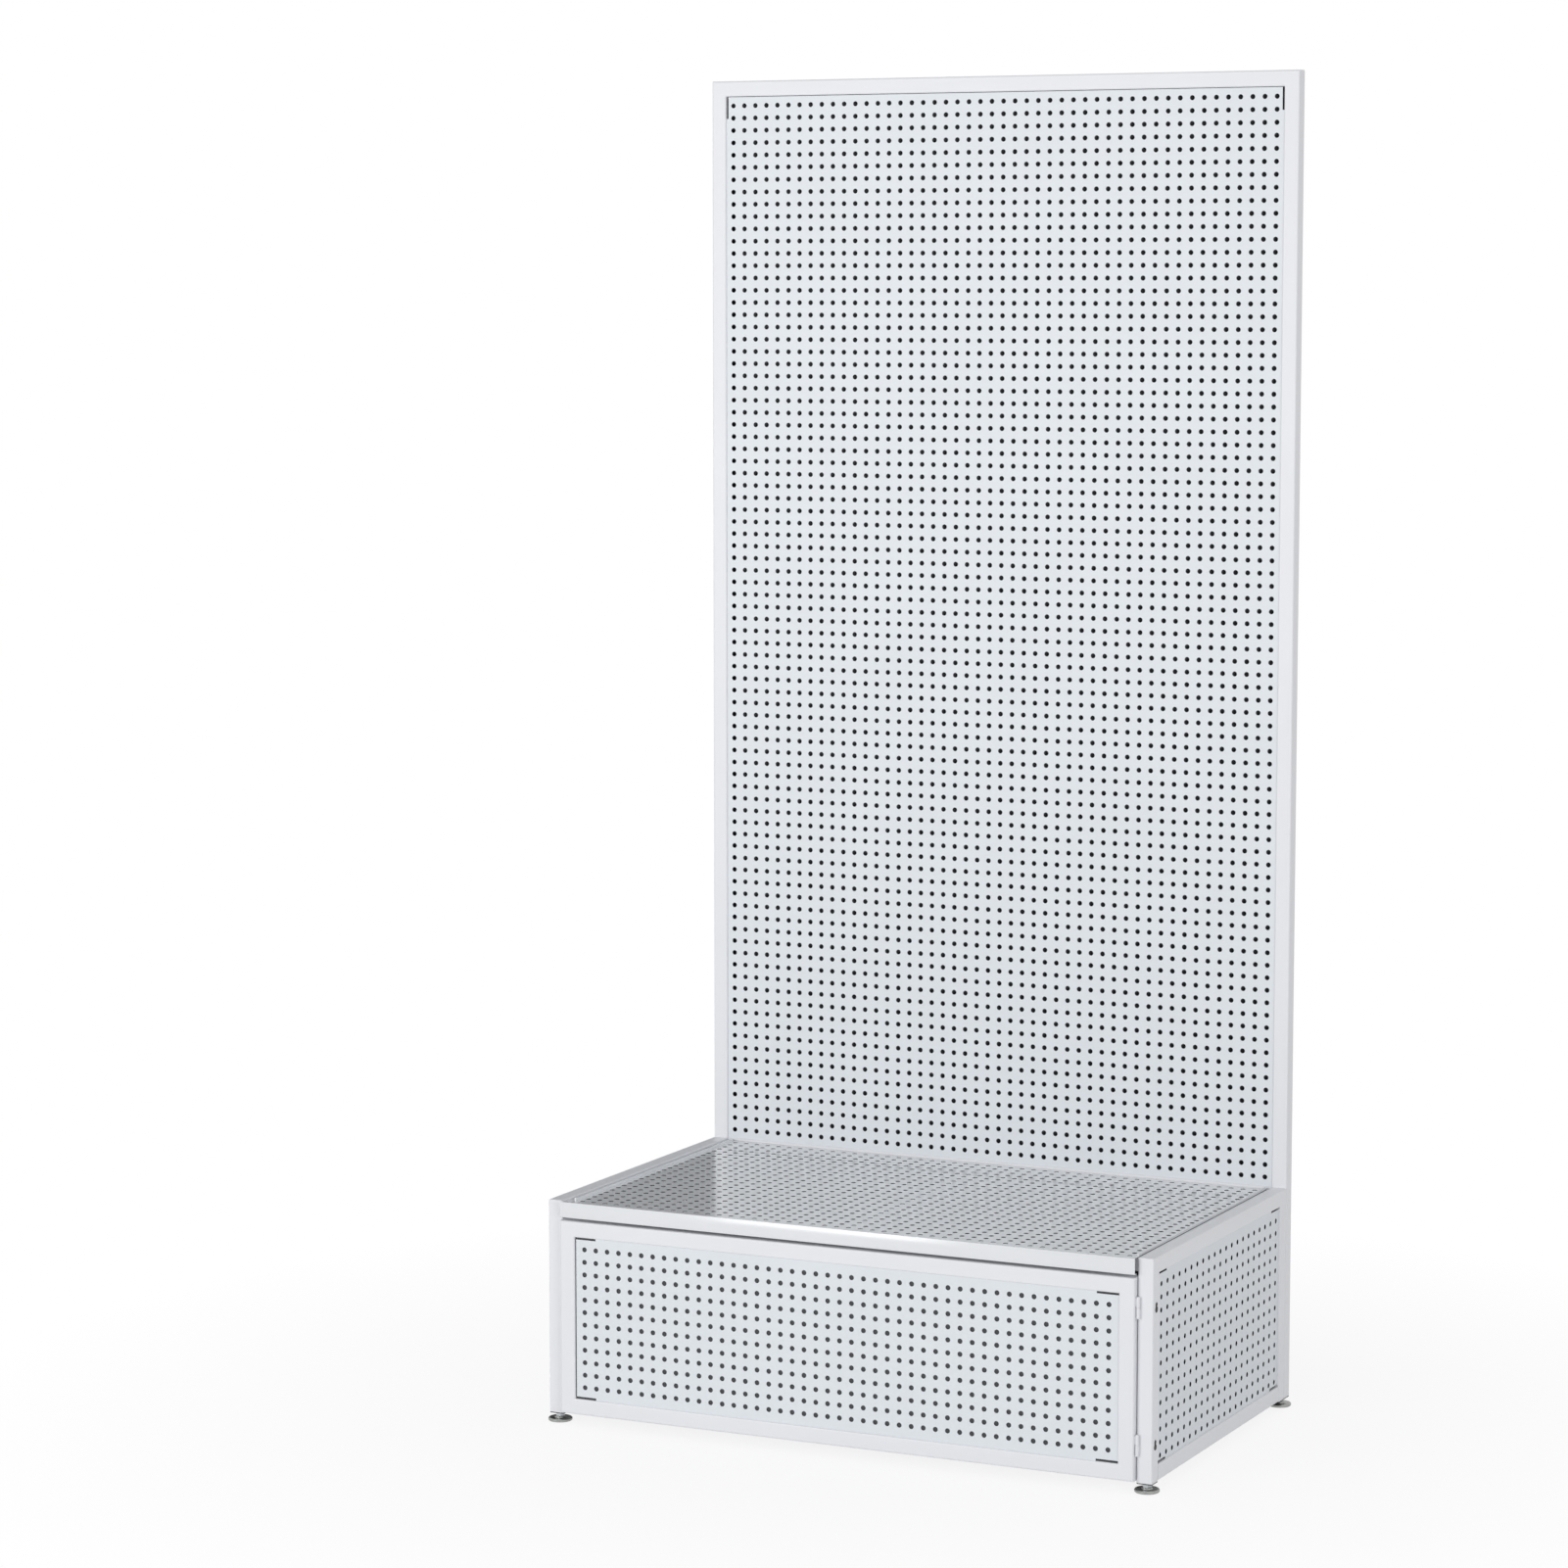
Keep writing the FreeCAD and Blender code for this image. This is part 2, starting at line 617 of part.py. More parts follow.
def foot_pad(x, y):
    """Round pad with a raised boss whose blind bore takes the stem."""
    bore = STEM_RADIUS + STEM_CLEARANCE
    profile = [
        (0, 0),
        (PAD_RADIUS - PAD_RIM, 0),
        (PAD_RADIUS, PAD_RIM),
        (PAD_RADIUS, PAD_HEIGHT - PAD_RIM),
        (PAD_RADIUS - PAD_RIM, PAD_HEIGHT),
        (BOSS_RADIUS + BOSS_RISE / 2, PAD_HEIGHT),
        (BOSS_RADIUS, BOSS_TOP),
        (bore, BOSS_TOP),
        (bore, BOSS_FLOOR),
        (0, BOSS_FLOOR),
    ]
    face = Part.Face(loop("y", profile, 0))
    shape = face.revolve(FreeCAD.Vector(0, 0, 0), FreeCAD.Vector(0, 0, 1), 360)
    shape.translate(FreeCAD.Vector(x, y, 0))
    return shape


def foot_stem(x, y):
    start = BOSS_FLOOR + STEM_END_GAP
    shape = cylinder("z", x, y, start, start + STEM_LENGTH, STEM_RADIUS)
    ends = ring_edges(shape, start) + ring_edges(shape, start + STEM_LENGTH)
    return shape.makeChamfer(STEM_RADIUS / 5, ends)


def foot_lock_nuts():
    shapes = []
    bottom = BOSS_TOP + BOSS_NUT_GAP
    for x, y in FEET.values():
        bore = cylinder("z", x, y, bottom - 1, POST_BOTTOM, STEM_RADIUS + STEM_CLEARANCE)
        shapes.append(prism("z", hexagon(NUT_ACROSS, x, y), bottom, bottom + NUT_HEIGHT).cut(bore))
    return Part.makeCompound(shapes)


def tube_plug(x, y):
    """Square plug pushed into the lower end of a tube, with a flange under it."""
    half = TUBE / 2
    bottom = POST_BOTTOM - INSERT_FLANGE
    rim = rounded_loop("z", (x - half, y - half), (x + half, y + half), TUBE_RADIUS, bottom)
    flange = Part.Face(rim).extrude(along("z", INSERT_FLANGE))
    reach = half - TUBE_WALL - INSERT_CLEARANCE
    top = POST_BOTTOM + INSERT_DEPTH
    radius = TUBE_RADIUS - TUBE_WALL
    rim = rounded_loop("z", (x - reach, y - reach), (x + reach, y + reach), radius, POST_BOTTOM)
    return fused(flange, Part.Face(rim).extrude(along("z", top - POST_BOTTOM)))


def foot_inserts():
    shapes = []
    for x, y in FEET.values():
        radius = STEM_RADIUS + STEM_CLEARANCE
        bore = cylinder("z", x, y, 0, POST_BOTTOM + INSERT_DEPTH + 1, radius)
        shapes.append(tube_plug(x, y).cut(bore))
    return Part.makeCompound(shapes)


def rear_post_caps():
    y = UPRIGHT_FRONT - TUBE / 2
    return Part.makeCompound([tube_plug(side * TUBE_CENTRE, y) for side in SIDES.values()])


def joining_bolts():
    shapes = []
    for side in SIDES.values():
        x = side * TUBE_CENTRE
        for height in BOLT_HEIGHTS:
            z = POST_BOTTOM + height
            head = prism("y", hexagon(BOLT_ACROSS, x, z), UPRIGHT_BACK, UPRIGHT_BACK + BOLT_HEAD)
            end = UPRIGHT_FRONT - TUBE - BOLT_NUT - BOLT_END
            shank = cylinder("y", x, z, end, UPRIGHT_BACK, BOLT_RADIUS)
            shapes.append(fused(head, shank))
    return Part.makeCompound(shapes)


def joining_nuts():
    shapes = []
    seat = UPRIGHT_FRONT - TUBE
    for side in SIDES.values():
        x = side * TUBE_CENTRE
        for height in BOLT_HEIGHTS:
            z = POST_BOTTOM + height
            bore = cylinder("y", x, z, seat - BOLT_NUT - 1, seat + 1, BOLT_RADIUS + BOLT_NUT_CLEARANCE)
            shapes.append(prism("y", hexagon(BOLT_ACROSS, x, z), seat - BOLT_NUT, seat).cut(bore))
    return Part.makeCompound(shapes)


def frame_nodes():
    nodes = {
        "upright_top_rail": upright_top_rail(),
        "upright_middle_rail": upright_cross_rail(RAIL_UNDERSIDE),
        "upright_bottom_rail": upright_cross_rail(POST_BOTTOM),
        "back_panel_lower": back_panel_lower(),
        "back_cover": back_cover(),
    }
    nodes.update(back_panels())
    for word, side in SIDES.items():
        nodes["upright_" + word] = upright(side)
    return nodes


def cabinet_nodes():
    nodes = {
        "front_tie_top": front_tie_top(),
        "front_tie_bottom": tie(TIE_FRONT, RAIL_TOP - TIE),
        "rear_tie_top": tie(UPRIGHT_FRONT - TIE, TIE_UNDERSIDE),
        "rear_tie_bottom": tie(UPRIGHT_FRONT - TIE, RAIL_TOP - TIE),
        "deck_tray": deck_tray(),
        "deck_bearer": deck_bearer(),
        "cabinet_floor": cabinet_floor(),
    }
    for word, side in SIDES.items():
        nodes["base_post_front_" + word] = base_post_front(side)
        nodes["base_post_rear_" + word] = base_post_rear(side)
        nodes["side_rail_top_" + word] = side_rail_top(side)
        nodes["side_rail_bottom_" + word] = side_rail_bottom(side)
        nodes["side_panel_" + word] = side_panel(side)
        nodes["deck_ledge_" + word] = deck_ledge(side)
    return nodes


def door_nodes():
    nodes = {"door_panel": door_panel(), "strike_plate": strike_plate()}
    for name in ("door_stile_left", "door_stile_right", "door_rail_bottom", "door_rail_top"):
        nodes[name] = door_member(name)
    for word, height in zip(("lower", "upper"), HINGE_HEIGHTS):
        nodes["hinge_%s_post_half" % word] = hinge_post_half(height)
        nodes["hinge_%s_door_half" % word] = hinge_door_half(height)
    nodes["hinge_pins"] = hinge_pins()
    nodes["hinge_washers"] = hinge_washers()
    nodes["catch_body"] = catch_body()
    nodes["catch_magnet"] = magnet_block()
    nodes["catch_screws"] = catch_screws()
    return nodes


def foot_nodes():
    nodes = {
        "foot_lock_nuts": foot_lock_nuts(),
        "foot_inserts": foot_inserts(),
        "rear_post_caps": rear_post_caps(),
        "joining_bolts": joining_bolts(),
        "joining_nuts": joining_nuts(),
    }
    for word, (x, y) in FEET.items():
        nodes["foot_pad_" + word] = foot_pad(x, y)
        nodes["foot_stem_" + word] = foot_stem(x, y)
    return nodes


os.makedirs("parts", exist_ok=True)
for make in (frame_nodes, cabinet_nodes, door_nodes, foot_nodes):
    for node, shape in make().items():
        shape.exportStep("parts/%s.step" % node)
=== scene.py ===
import json
import math

import bpy
from mathutils import Matrix, Vector


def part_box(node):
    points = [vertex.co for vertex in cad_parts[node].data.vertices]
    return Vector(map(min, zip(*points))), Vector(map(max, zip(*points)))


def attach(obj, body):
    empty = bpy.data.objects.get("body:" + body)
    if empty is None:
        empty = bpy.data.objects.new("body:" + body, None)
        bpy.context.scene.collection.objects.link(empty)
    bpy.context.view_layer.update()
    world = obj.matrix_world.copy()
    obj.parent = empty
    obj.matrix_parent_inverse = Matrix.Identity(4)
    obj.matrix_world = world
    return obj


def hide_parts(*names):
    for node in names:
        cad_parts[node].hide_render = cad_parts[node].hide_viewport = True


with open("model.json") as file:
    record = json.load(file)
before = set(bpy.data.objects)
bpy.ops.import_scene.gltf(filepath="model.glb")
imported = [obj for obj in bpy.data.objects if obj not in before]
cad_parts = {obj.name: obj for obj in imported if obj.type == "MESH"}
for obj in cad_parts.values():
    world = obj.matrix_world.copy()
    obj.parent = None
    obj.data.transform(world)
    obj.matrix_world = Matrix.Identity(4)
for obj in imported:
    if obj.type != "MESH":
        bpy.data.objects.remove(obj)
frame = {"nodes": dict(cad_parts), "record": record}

bl_info = {
    "name": "Pegboard display rack",
    "version": (1, 0, 0),
    "blender": (4, 5, 0),
    "location": "View3D > Sidebar > Rack",
    "description": "Perforated sheets, finishes and studio of a pegboard display rack",
    "category": "Object",
}

# A length below which two places count as the same, in metres.
TOUCH = 1e-5
# The share of a pitch that rounding may take from a whole number of holes.
NEARLY = 1e-4
# Faces that meet at less than this angle are shaded as one curved surface.
SMOOTH_ANGLE = math.radians(30)
# Edges sharper than this are rounded where a folded sheet was cut.
CUT_ANGLE = math.radians(40)
# The back is one sheet to the eye, and this many stacked panels in the CAD model.
BACK_PANELS = 5
# The image the camera is set for, and the sensor width that Blender measures lenses by.
IMAGE_PIXELS = 1601
SENSOR_MM = 36.0
STAND = "stand"
DOOR = "door"
SHEET_SLOT = "white_powder_coat_sheet"
TRAY_SLOT = "white_powder_coat_tray"
# The dark finish of the punched holes' walls and cut edges, in a sheet's second material slot:
# painted shade inside the holes.
HOLE_WALL_SHADE = "Bare steel of punched edges"
# Turns a sheet that was built flat upright, its outer face to the front.
UPRIGHT_TURN = (math.pi / 2, 0, 0)

# The floor reaches far past the view, a hair below the feet so that no two faces share a plane.
FLOOR_SIZE = 30.0
FLOOR_MIDDLE = (0.0, 3.0, -0.0003)
# Seen directly the floor is this white near the rack, and wholly white past the second distance.
FLOOR_WHITE_NEAR = 0.86
FLOOR_NEAR = 0.5
FLOOR_FAR = 1.6
CLIP_NEAR = 0.1
CLIP_FAR = 80.0


def linear(hex_colour):
    """A colour written as sRGB hex, turned to the linear values that sockets take."""
    values = [int(hex_colour[i:i + 2], 16) / 255 for i in (0, 2, 4)]
    low = [v / 12.92 if v <= 0.04045 else ((v + 0.055) / 1.055) ** 2.4 for v in values]
    return (*low, 1.0)


def per_mm(size):
    """Scale of a pattern whose cells are this many millimetres across."""
    return 1000.0 / size


def length(name, description, default):
    """A length in metres that a user may change."""
    return bpy.props.FloatProperty(
        name=name, description=description, default=default, unit="LENGTH", subtype="DISTANCE"
    )


def point(name, description, default):
    """A place in metres that a user may change."""
    return bpy.props.FloatVectorProperty(
        name=name, description=description, default=default,
        unit="LENGTH", subtype="TRANSLATION",
    )


def angle(name, description, degrees):
    """An angle that a user may change, written in degrees."""
    return bpy.props.FloatProperty(
        name=name, description=description, default=math.radians(degrees),
        unit="ROTATION", subtype="ANGLE",
    )


def power(name, description, watts):
    """A lamp's power in watts that a user may change."""
    return bpy.props.FloatProperty(
        name=name, description=description, default=watts, subtype="POWER"
    )


def colour(name, description, hex_colour):
    """A colour that a user may change, written as sRGB hex."""
    return bpy.props.FloatVectorProperty(
        name=name, description=description, default=linear(hex_colour),
        size=4, min=0, max=1, subtype="COLOR",
    )


class RackSizes(bpy.types.PropertyGroup):
    """Sizes of the punched and folded sheet parts."""

    sheet: length("Sheet thickness", "Steel sheet of all the panels", 0.001)
    hole: length("Hole diameter", "Round punched holes", 0.008)
    pitch: length("Pitch", "Distance between neighbouring holes", 0.02)
    side_pitch: length("Side pitch", "Distance between columns of holes on the sides", 0.025)
    edge_margin: length("Edge margin", "Least distance from a hole's centre to an edge", 0.01)
    first_row_drop: length("First row drop", "From the top rail down to the first row", 0.015)
    side_rows_drop: length("Side rows drop", "The side rows sit this much below centre", 0.005)
    slit_length: length("Slit length", "Corner slits of the panels", 0.036)
    slit_width: length("Slit width", "Corner slits of the panels", 0.0035)
    door_slot: length("Door slot", "Open slot along the door sheet's left edge", 0.0018)
    top_slot: length("Top slot", "Open slot between the back sheet and the top rail", 0.0009)
    # The lining is a dark sheet that paints the shade inside the cabinet, seen through the door's
    # holes.
    lining: length("Lining thickness", "Dark lining behind the door sheet", 0.0004)
    lining_gap: length("Lining gap", "From the door sheet back to its lining", 0.014)
    lining_inset: length("Lining inset", "The lining's edge inside the door frame", 0.0003)
    apron_height: length("Apron height", "Front face of the deck tray", 0.025)
    apron_return: length("Apron return", "Flange folded back under the apron", 0.009)
    apron_fold: length("Apron fold", "Outer radius of the fold under the apron", 0.0022)
    deck_drop: length("Deck drop", "The deck lies this much below the rails' tops", 0.004)
    lip_inset: length("Lip inset", "The deck's lips stand in from the apron's ends", 0.007)
    lip_thickness: length("Lip thickness", "Raised lips at the deck's sides", 0.003)
    lip_round: length("Lip round", "Rounding of the lips' upper edges", 0.0009)
    keyhole_heights: bpy.props.FloatVectorProperty(
        name="Keyhole heights", description="Middles of the keyholes above the posts' feet",
        default=(0.057, 0.265), size=2, unit="LENGTH",
    )
    keyhole_lobe: length("Keyhole lobe", "Diameter of a keyhole's wide end", 0.01)
    keyhole_slot: length("Keyhole slot", "Diameter of a keyhole's narrow end", 0.007)
    keyhole_length: length("Keyhole length", "From end to end", 0.016)
    # The keyhole plugs are black discs that paint the shade inside the tubes.
    plug_rise: length("Plug rise", "Keyhole plugs stand this much proud", 0.0007)
    plug_gap: length("Plug gap", "Around the plugs in their keyholes", 0.0002)
    edge_round: length("Edge round", "Rounding that the coating leaves on cut edges", 0.0003)
    bead_radius: length("Bead radius", "Weld beads where tubes meet", 0.0018)
    bead_length: length("Bead length", "Weld beads where tubes meet", 0.017)


class RackColours(bpy.types.PropertyGroup):
    """Colours of the finishes."""

    tube: colour("Tube paint", "White powder coat of the square tubes", "E9EAEE")
    sheet: colour("Sheet paint", "White powder coat of the perforated panels", "E2E7EC")
    tray: colour("Tray paint", "White powder coat of the deck tray", "E8EAED")
    # The cut-edge colour is painted shade: it darkens the walls of the punched holes.
    edge: colour("Cut edge", "Thinly coated steel in the punched holes", "4A4C4F")
    # The rear sheets are an inferred cover; their dark paint, and the door lining's, is painted
    # shade seen through the holes.
    graphite: colour("Rear paint", "Graphite powder coat of the plain rear sheets", "2B2D30")
    zinc: colour("Zinc", "Bright zinc plate of bolts, nuts and pins", "C3C6C9")
    foot_zinc: colour("Foot zinc", "Dull zinc plate of the levelling feet", "A9ABA8")
    washer: colour("Washer", "White nylon thrust washers in the hinges", "E6E6E2")
    nylon: colour("Nylon", "Black inserts and caps in the tube ends", "1B1B1D")
    catch: colour("Catch plastic", "Moulded body of the door catch", "D9D9D6")
    magnet: colour("Magnet", "Steel face of the catch magnet", "6E7073")
    floor: colour("Floor", "Pale studio floor", "F6F6F6")
    card: colour("Card", "Dark studio card", "202224")


class RackStudio(bpy.types.PropertyGroup):
    """Camera and light."""

    camera_place: point("Camera place", "Where the camera stands", (2.8954, -6.4962, 1.7979))
    azimuth: angle("Azimuth", "How far right of the front the camera stands", 25.78)
    elevation: angle("Elevation", "How far the camera looks down", 6.37)
    roll: angle("Roll", "Tilt of the camera about its own line of sight", 0.02)
    focal_pixels: bpy.props.FloatProperty(
        name="Focal length", description="Focal length in pixels of the image", default=4672.0
    )
    sky: bpy.props.FloatProperty(
        name="Sky light", description="Even light from all around, where 1 is white", default=0.51
    )
    key_power: power("Key light", "Soft light from the front right", 92.0)
    key_place: point("Key place", "Where the key light hangs", (5.6, -4.2, 1.6))
    fill_power: power("Fill light", "Soft light from the front left", 158.0)
    fill_place: point("Fill place", "Where the fill light hangs", (-3.0, -6.4, 1.5))
    lamp_size: length("Lamp size", "Width of the soft lamps", 2.6)
    lamp_aim: point("Lamp aim", "The point on the rack that both lamps face", (0.0, 0.0, 0.9))
    card_width: length("Card width", "Dark card behind the rack's left side", 4.0)
    card_place: point("Card place", "Middle of the dark card", (-3.0, 3.0, 1.6))


# Selecting and shaping


def deselect_all():
    bpy.ops.object.select_all(action="DESELECT")


def select_only(piece):
    deselect_all()
    piece.select_set(True)
    bpy.context.view_layer.objects.active = piece


def object_mode():
    bpy.ops.object.mode_set(mode="OBJECT")


def pick(piece, kind, test):
    """Select the vertices, edges or faces that pass a test, and stay in edit mode."""
    select_only(piece)
    bpy.ops.object.mode_set(mode="EDIT")
    bpy.ops.mesh.select_mode(type=kind)
    bpy.ops.mesh.select_all(action="DESELECT")
    object_mode()
    mesh = piece.data
    items = {"VERT": mesh.vertices, "EDGE": mesh.edges, "FACE": mesh.polygons}[kind]
    for item in items:
        item.select = test(item)
    bpy.ops.object.mode_set(mode="EDIT")


def apply_modifier(piece, kind, **settings):
    """Add a modifier with its settings, and put its result into the mesh."""
    select_only(piece)
    bpy.ops.object.modifier_add(type=kind)
    modifier = piece.modifiers[-1]
    for key, value in settings.items():
        setattr(modifier, key, value)
    bpy.ops.object.modifier_apply(modifier=modifier.name)


def settle(piece, turn=(0, 0, 0), place=(0, 0, 0)):
    """Turn and move a piece, then put its place into its mesh."""
    select_only(piece)
    piece.rotation_euler = turn
    piece.location = place
    bpy.ops.object.transform_apply(location=True, rotation=True, scale=True)


def flip(piece):
    """Turn all the faces of a piece round."""
    pick(piece, "FACE", lambda face: True)
    bpy.ops.mesh.flip_normals()
    object_mode()


def smooth(piece):
    select_only(piece)
    bpy.ops.object.shade_smooth_by_angle(angle=SMOOTH_ANGLE)


def copy_piece(piece, name, move):
    """A copy with its own mesh, moved."""
    select_only(piece)
    bpy.ops.object.duplicate(linked=False)
    twin = bpy.context.object
    twin.name = name
    settle(twin, place=move)
    return twin


def join(pieces, name):
    """Several meshes as one piece."""
    deselect_all()
    for piece in pieces:
        piece.select_set(True)
    bpy.context.view_layer.objects.active = pieces[0]
    bpy.ops.object.join()
    pieces[0].name = name
    return pieces[0]


def hand_over(piece, body, slot, *nodes):
    """Give a finished piece its finish and its body, and hide the CAD nodes it stands for."""
    if not piece.data.materials:
        piece.data.materials.append(bpy.data.materials[FINISHES[slot][0]])
    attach(piece, body)
    if nodes:
        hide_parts(*nodes)


# Perforated sheets, built flat with their outer face up


def centred(low, high, pitch, margin):
    """First hole and number of holes at a pitch, centred between two edges."""
    count = int((high - low - 2 * margin) / pitch + NEARLY) + 1
    return (low + high - (count - 1) * pitch) / 2, count


def hole_cell(name, first, pitches, radius):
    """One rectangle of sheet with its round hole in a ring of sixteen faces."""
    deselect_all()
    middle = (first[0], first[1], 0)
    bpy.ops.mesh.primitive_grid_add(x_subdivisions=4, y_subdivisions=4, size=1, location=middle)
    piece = bpy.context.object
    piece.name = name
    # Only the points of the grid's rim stay, half its width from the middle.
    rim = 0.5
    pick(piece, "VERT", lambda v: max(abs(v.co.x), abs(v.co.y)) < rim - TOUCH)
    bpy.ops.mesh.delete(type="VERT")
    bpy.ops.mesh.select_all(action="SELECT")
    bpy.ops.transform.resize(value=(pitches[0], pitches[1], 1), center_override=middle)
    object_mode()
    count = len(piece.data.vertices)
    bpy.ops.object.mode_set(mode="EDIT")
    bpy.ops.mesh.primitive_circle_add(
        vertices=count, radius=radius, fill_type="NOTHING", location=middle
    )
    bpy.ops.mesh.select_all(action="SELECT")
    bpy.ops.mesh.bridge_edge_loops()
    object_mode()
    bpy.ops.object.transform_apply(location=True, rotation=True, scale=True)
    return piece


def stretch(piece, axis, edge, border, outwards):
    """Widen the sheet from the cells' edge to its border, or trim it back to there."""
    if abs(border - edge) < TOUCH:
        return
    points = piece.data.vertices

    def on_edge(item):
        return all(abs(points[i].co[axis] - edge) < TOUCH for i in item.vertices)

    pick(piece, "EDGE", on_edge)
    move = [0.0, 0.0, 0.0]
    move[axis] = border - edge
    if (border - edge) * outwards > 0:
        bpy.ops.mesh.extrude_region_move(TRANSFORM_OT_translate={"value": move})
    else:
        bpy.ops.transform.translate(value=move)
    object_mode()


def notch(piece, low, high, limits):
    """Cut a rectangular slit that is open at the sheet's border."""

    def touches(face):
        corners = [piece.data.vertices[i].co for i in face.vertices]
        return all(
            max(c[a] for c in corners) > low[a] - TOUCH
            and min(c[a] for c in corners) < high[a] + TOUCH
            for a in (0, 1)
        )

    def within(face):
        return all(low[a] < face.center[a] < high[a] for a in (0, 1))

    for axis in (0, 1):
        for line in (low[axis], high[axis]):
            if not limits[axis][0] + TOUCH < line < limits[axis][1] - TOUCH:
                continue
            pick(piece, "FACE", touches)
            cut = [0.0, 0.0, 0.0]
            cut[axis] = line
            across = [0.0, 0.0, 0.0]
            across[axis] = 1.0
            bpy.ops.mesh.bisect(plane_co=cut, plane_no=across)
            object_mode()
    pick(piece, "FACE", within)
    bpy.ops.mesh.delete(type="FACE")
    object_mode()


def perforated(name, slot, limits, firsts, counts, pitches, notches=()):
    """Flat sheet between limits, with holes in rows and columns and slits cut out."""
    sizes = bpy.context.scene.rack_sizes
    piece = hole_cell(name, firsts, pitches, sizes.hole / 2)
    for axis in (0, 1):
        step = [0.0, 0.0, 0.0]
        step[axis] = pitches[axis]
        apply_modifier(
            piece, "ARRAY", count=counts[axis],
            use_relative_offset=False, use_constant_offset=True,
            constant_offset_displace=step, use_merge_vertices=True, merge_threshold=TOUCH,
        )
    for axis in (0, 1):
        low = firsts[axis] - pitches[axis] / 2
        high = low + counts[axis] * pitches[axis]
        stretch(piece, axis, low, limits[axis][0], -1)
        stretch(piece, axis, high, limits[axis][1], 1)
    for low, high in notches:
        notch(piece, low, high, limits)
    pick(piece, "FACE", lambda face: True)
    bpy.ops.mesh.normals_make_consistent(inside=False)
    object_mode()
    if piece.data.polygons[0].normal.z < 0:
        flip(piece)
    piece.data.materials.append(bpy.data.materials[FINISHES[slot][0]])
    # The second slot holds the painted shade of the hole walls, which the solidify rim takes.
    piece.data.materials.append(bpy.data.materials[HOLE_WALL_SHADE])
    apply_modifier(
        piece, "SOLIDIFY", thickness=sizes.sheet, offset=-1.0, material_offset_rim=1
    )
    smooth(piece)
    return piece


def corner_slits(limits, along, across):
    """Notches at the four corners, lying along the first axis."""
    (u0, u1), (v0, v1) = limits
    return [
        ((u0, v0), (u0 + along, v0 + across)),
        ((u1 - along, v0), (u1, v0 + across)),
        ((u0, v1 - across), (u0 + along, v1)),
        ((u1 - along, v1 - across), (u1, v1)),
    ]


class RACK_OT_back_sheets(bpy.types.Operator):
    """Five stacked perforated panels in the upright frame"""

    bl_idname = "rack.back_sheets"
    bl_label = "Back sheets"

    def execute(self, context):
        sizes = context.scene.rack_sizes
        names = ["back_panel_%d" % (i + 1) for i in range(BACK_PANELS)]
        boxes = [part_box(name) for name in names]
        first_row = boxes[0][1].z - sizes.first_row_drop
        made = {}
        for i, (low, high) in enumerate(boxes):
            skipped = math.ceil((first_row - high.z) / sizes.pitch - NEARLY)
            top_row = first_row - max(skipped, 0) * sizes.pitch
            rows = int((top_row - low.z) / sizes.pitch - NEARLY) + 1
            name = "back_sheet_%d" % (i + 1)
            slitted = i == 0
            form = (slitted, rows, round(high.z - top_row, 5), round(high.z - low.z, 5))
            if form in made:
                other, other_top = made[form]
                piece = copy_piece(other, name, (0, 0, high.z - other_top))
            else:
                piece = self.build(sizes, name, low, high, rows, top_row, slitted)
                made[form] = (piece, high.z)
            hand_over(piece, STAND, SHEET_SLOT, names[i])
        return {"FINISHED"}

    def build(self, sizes, name, low, high, rows, top_row, slitted):
        """One panel; the top one has slits at its corners and an open slot above it."""
        limits = ((low.x, high.x), (low.z, high.z))
        column, columns = centred(low.x, high.x, sizes.pitch, sizes.edge_margin)
        bottom_row = top_row - (rows - 1) * sizes.pitch
        slits = []
        if slitted:
            width, reach = sizes.slit_width, sizes.slit_length
            slits = [
                ((low.x, high.z - reach), (low.x + width, high.z)),
                ((high.x - width, high.z - reach), (high.x, high.z)),
                ((low.x, high.z - sizes.top_slot), (high.x, high.z)),
            ]
        pitches = (sizes.pitch, sizes.pitch)
        piece = perforated(
            name, SHEET_SLOT, limits, (column, bottom_row), (columns, rows), pitches, slits
        )
        settle(piece, UPRIGHT_TURN, (0, low.y, 0))
        return piece


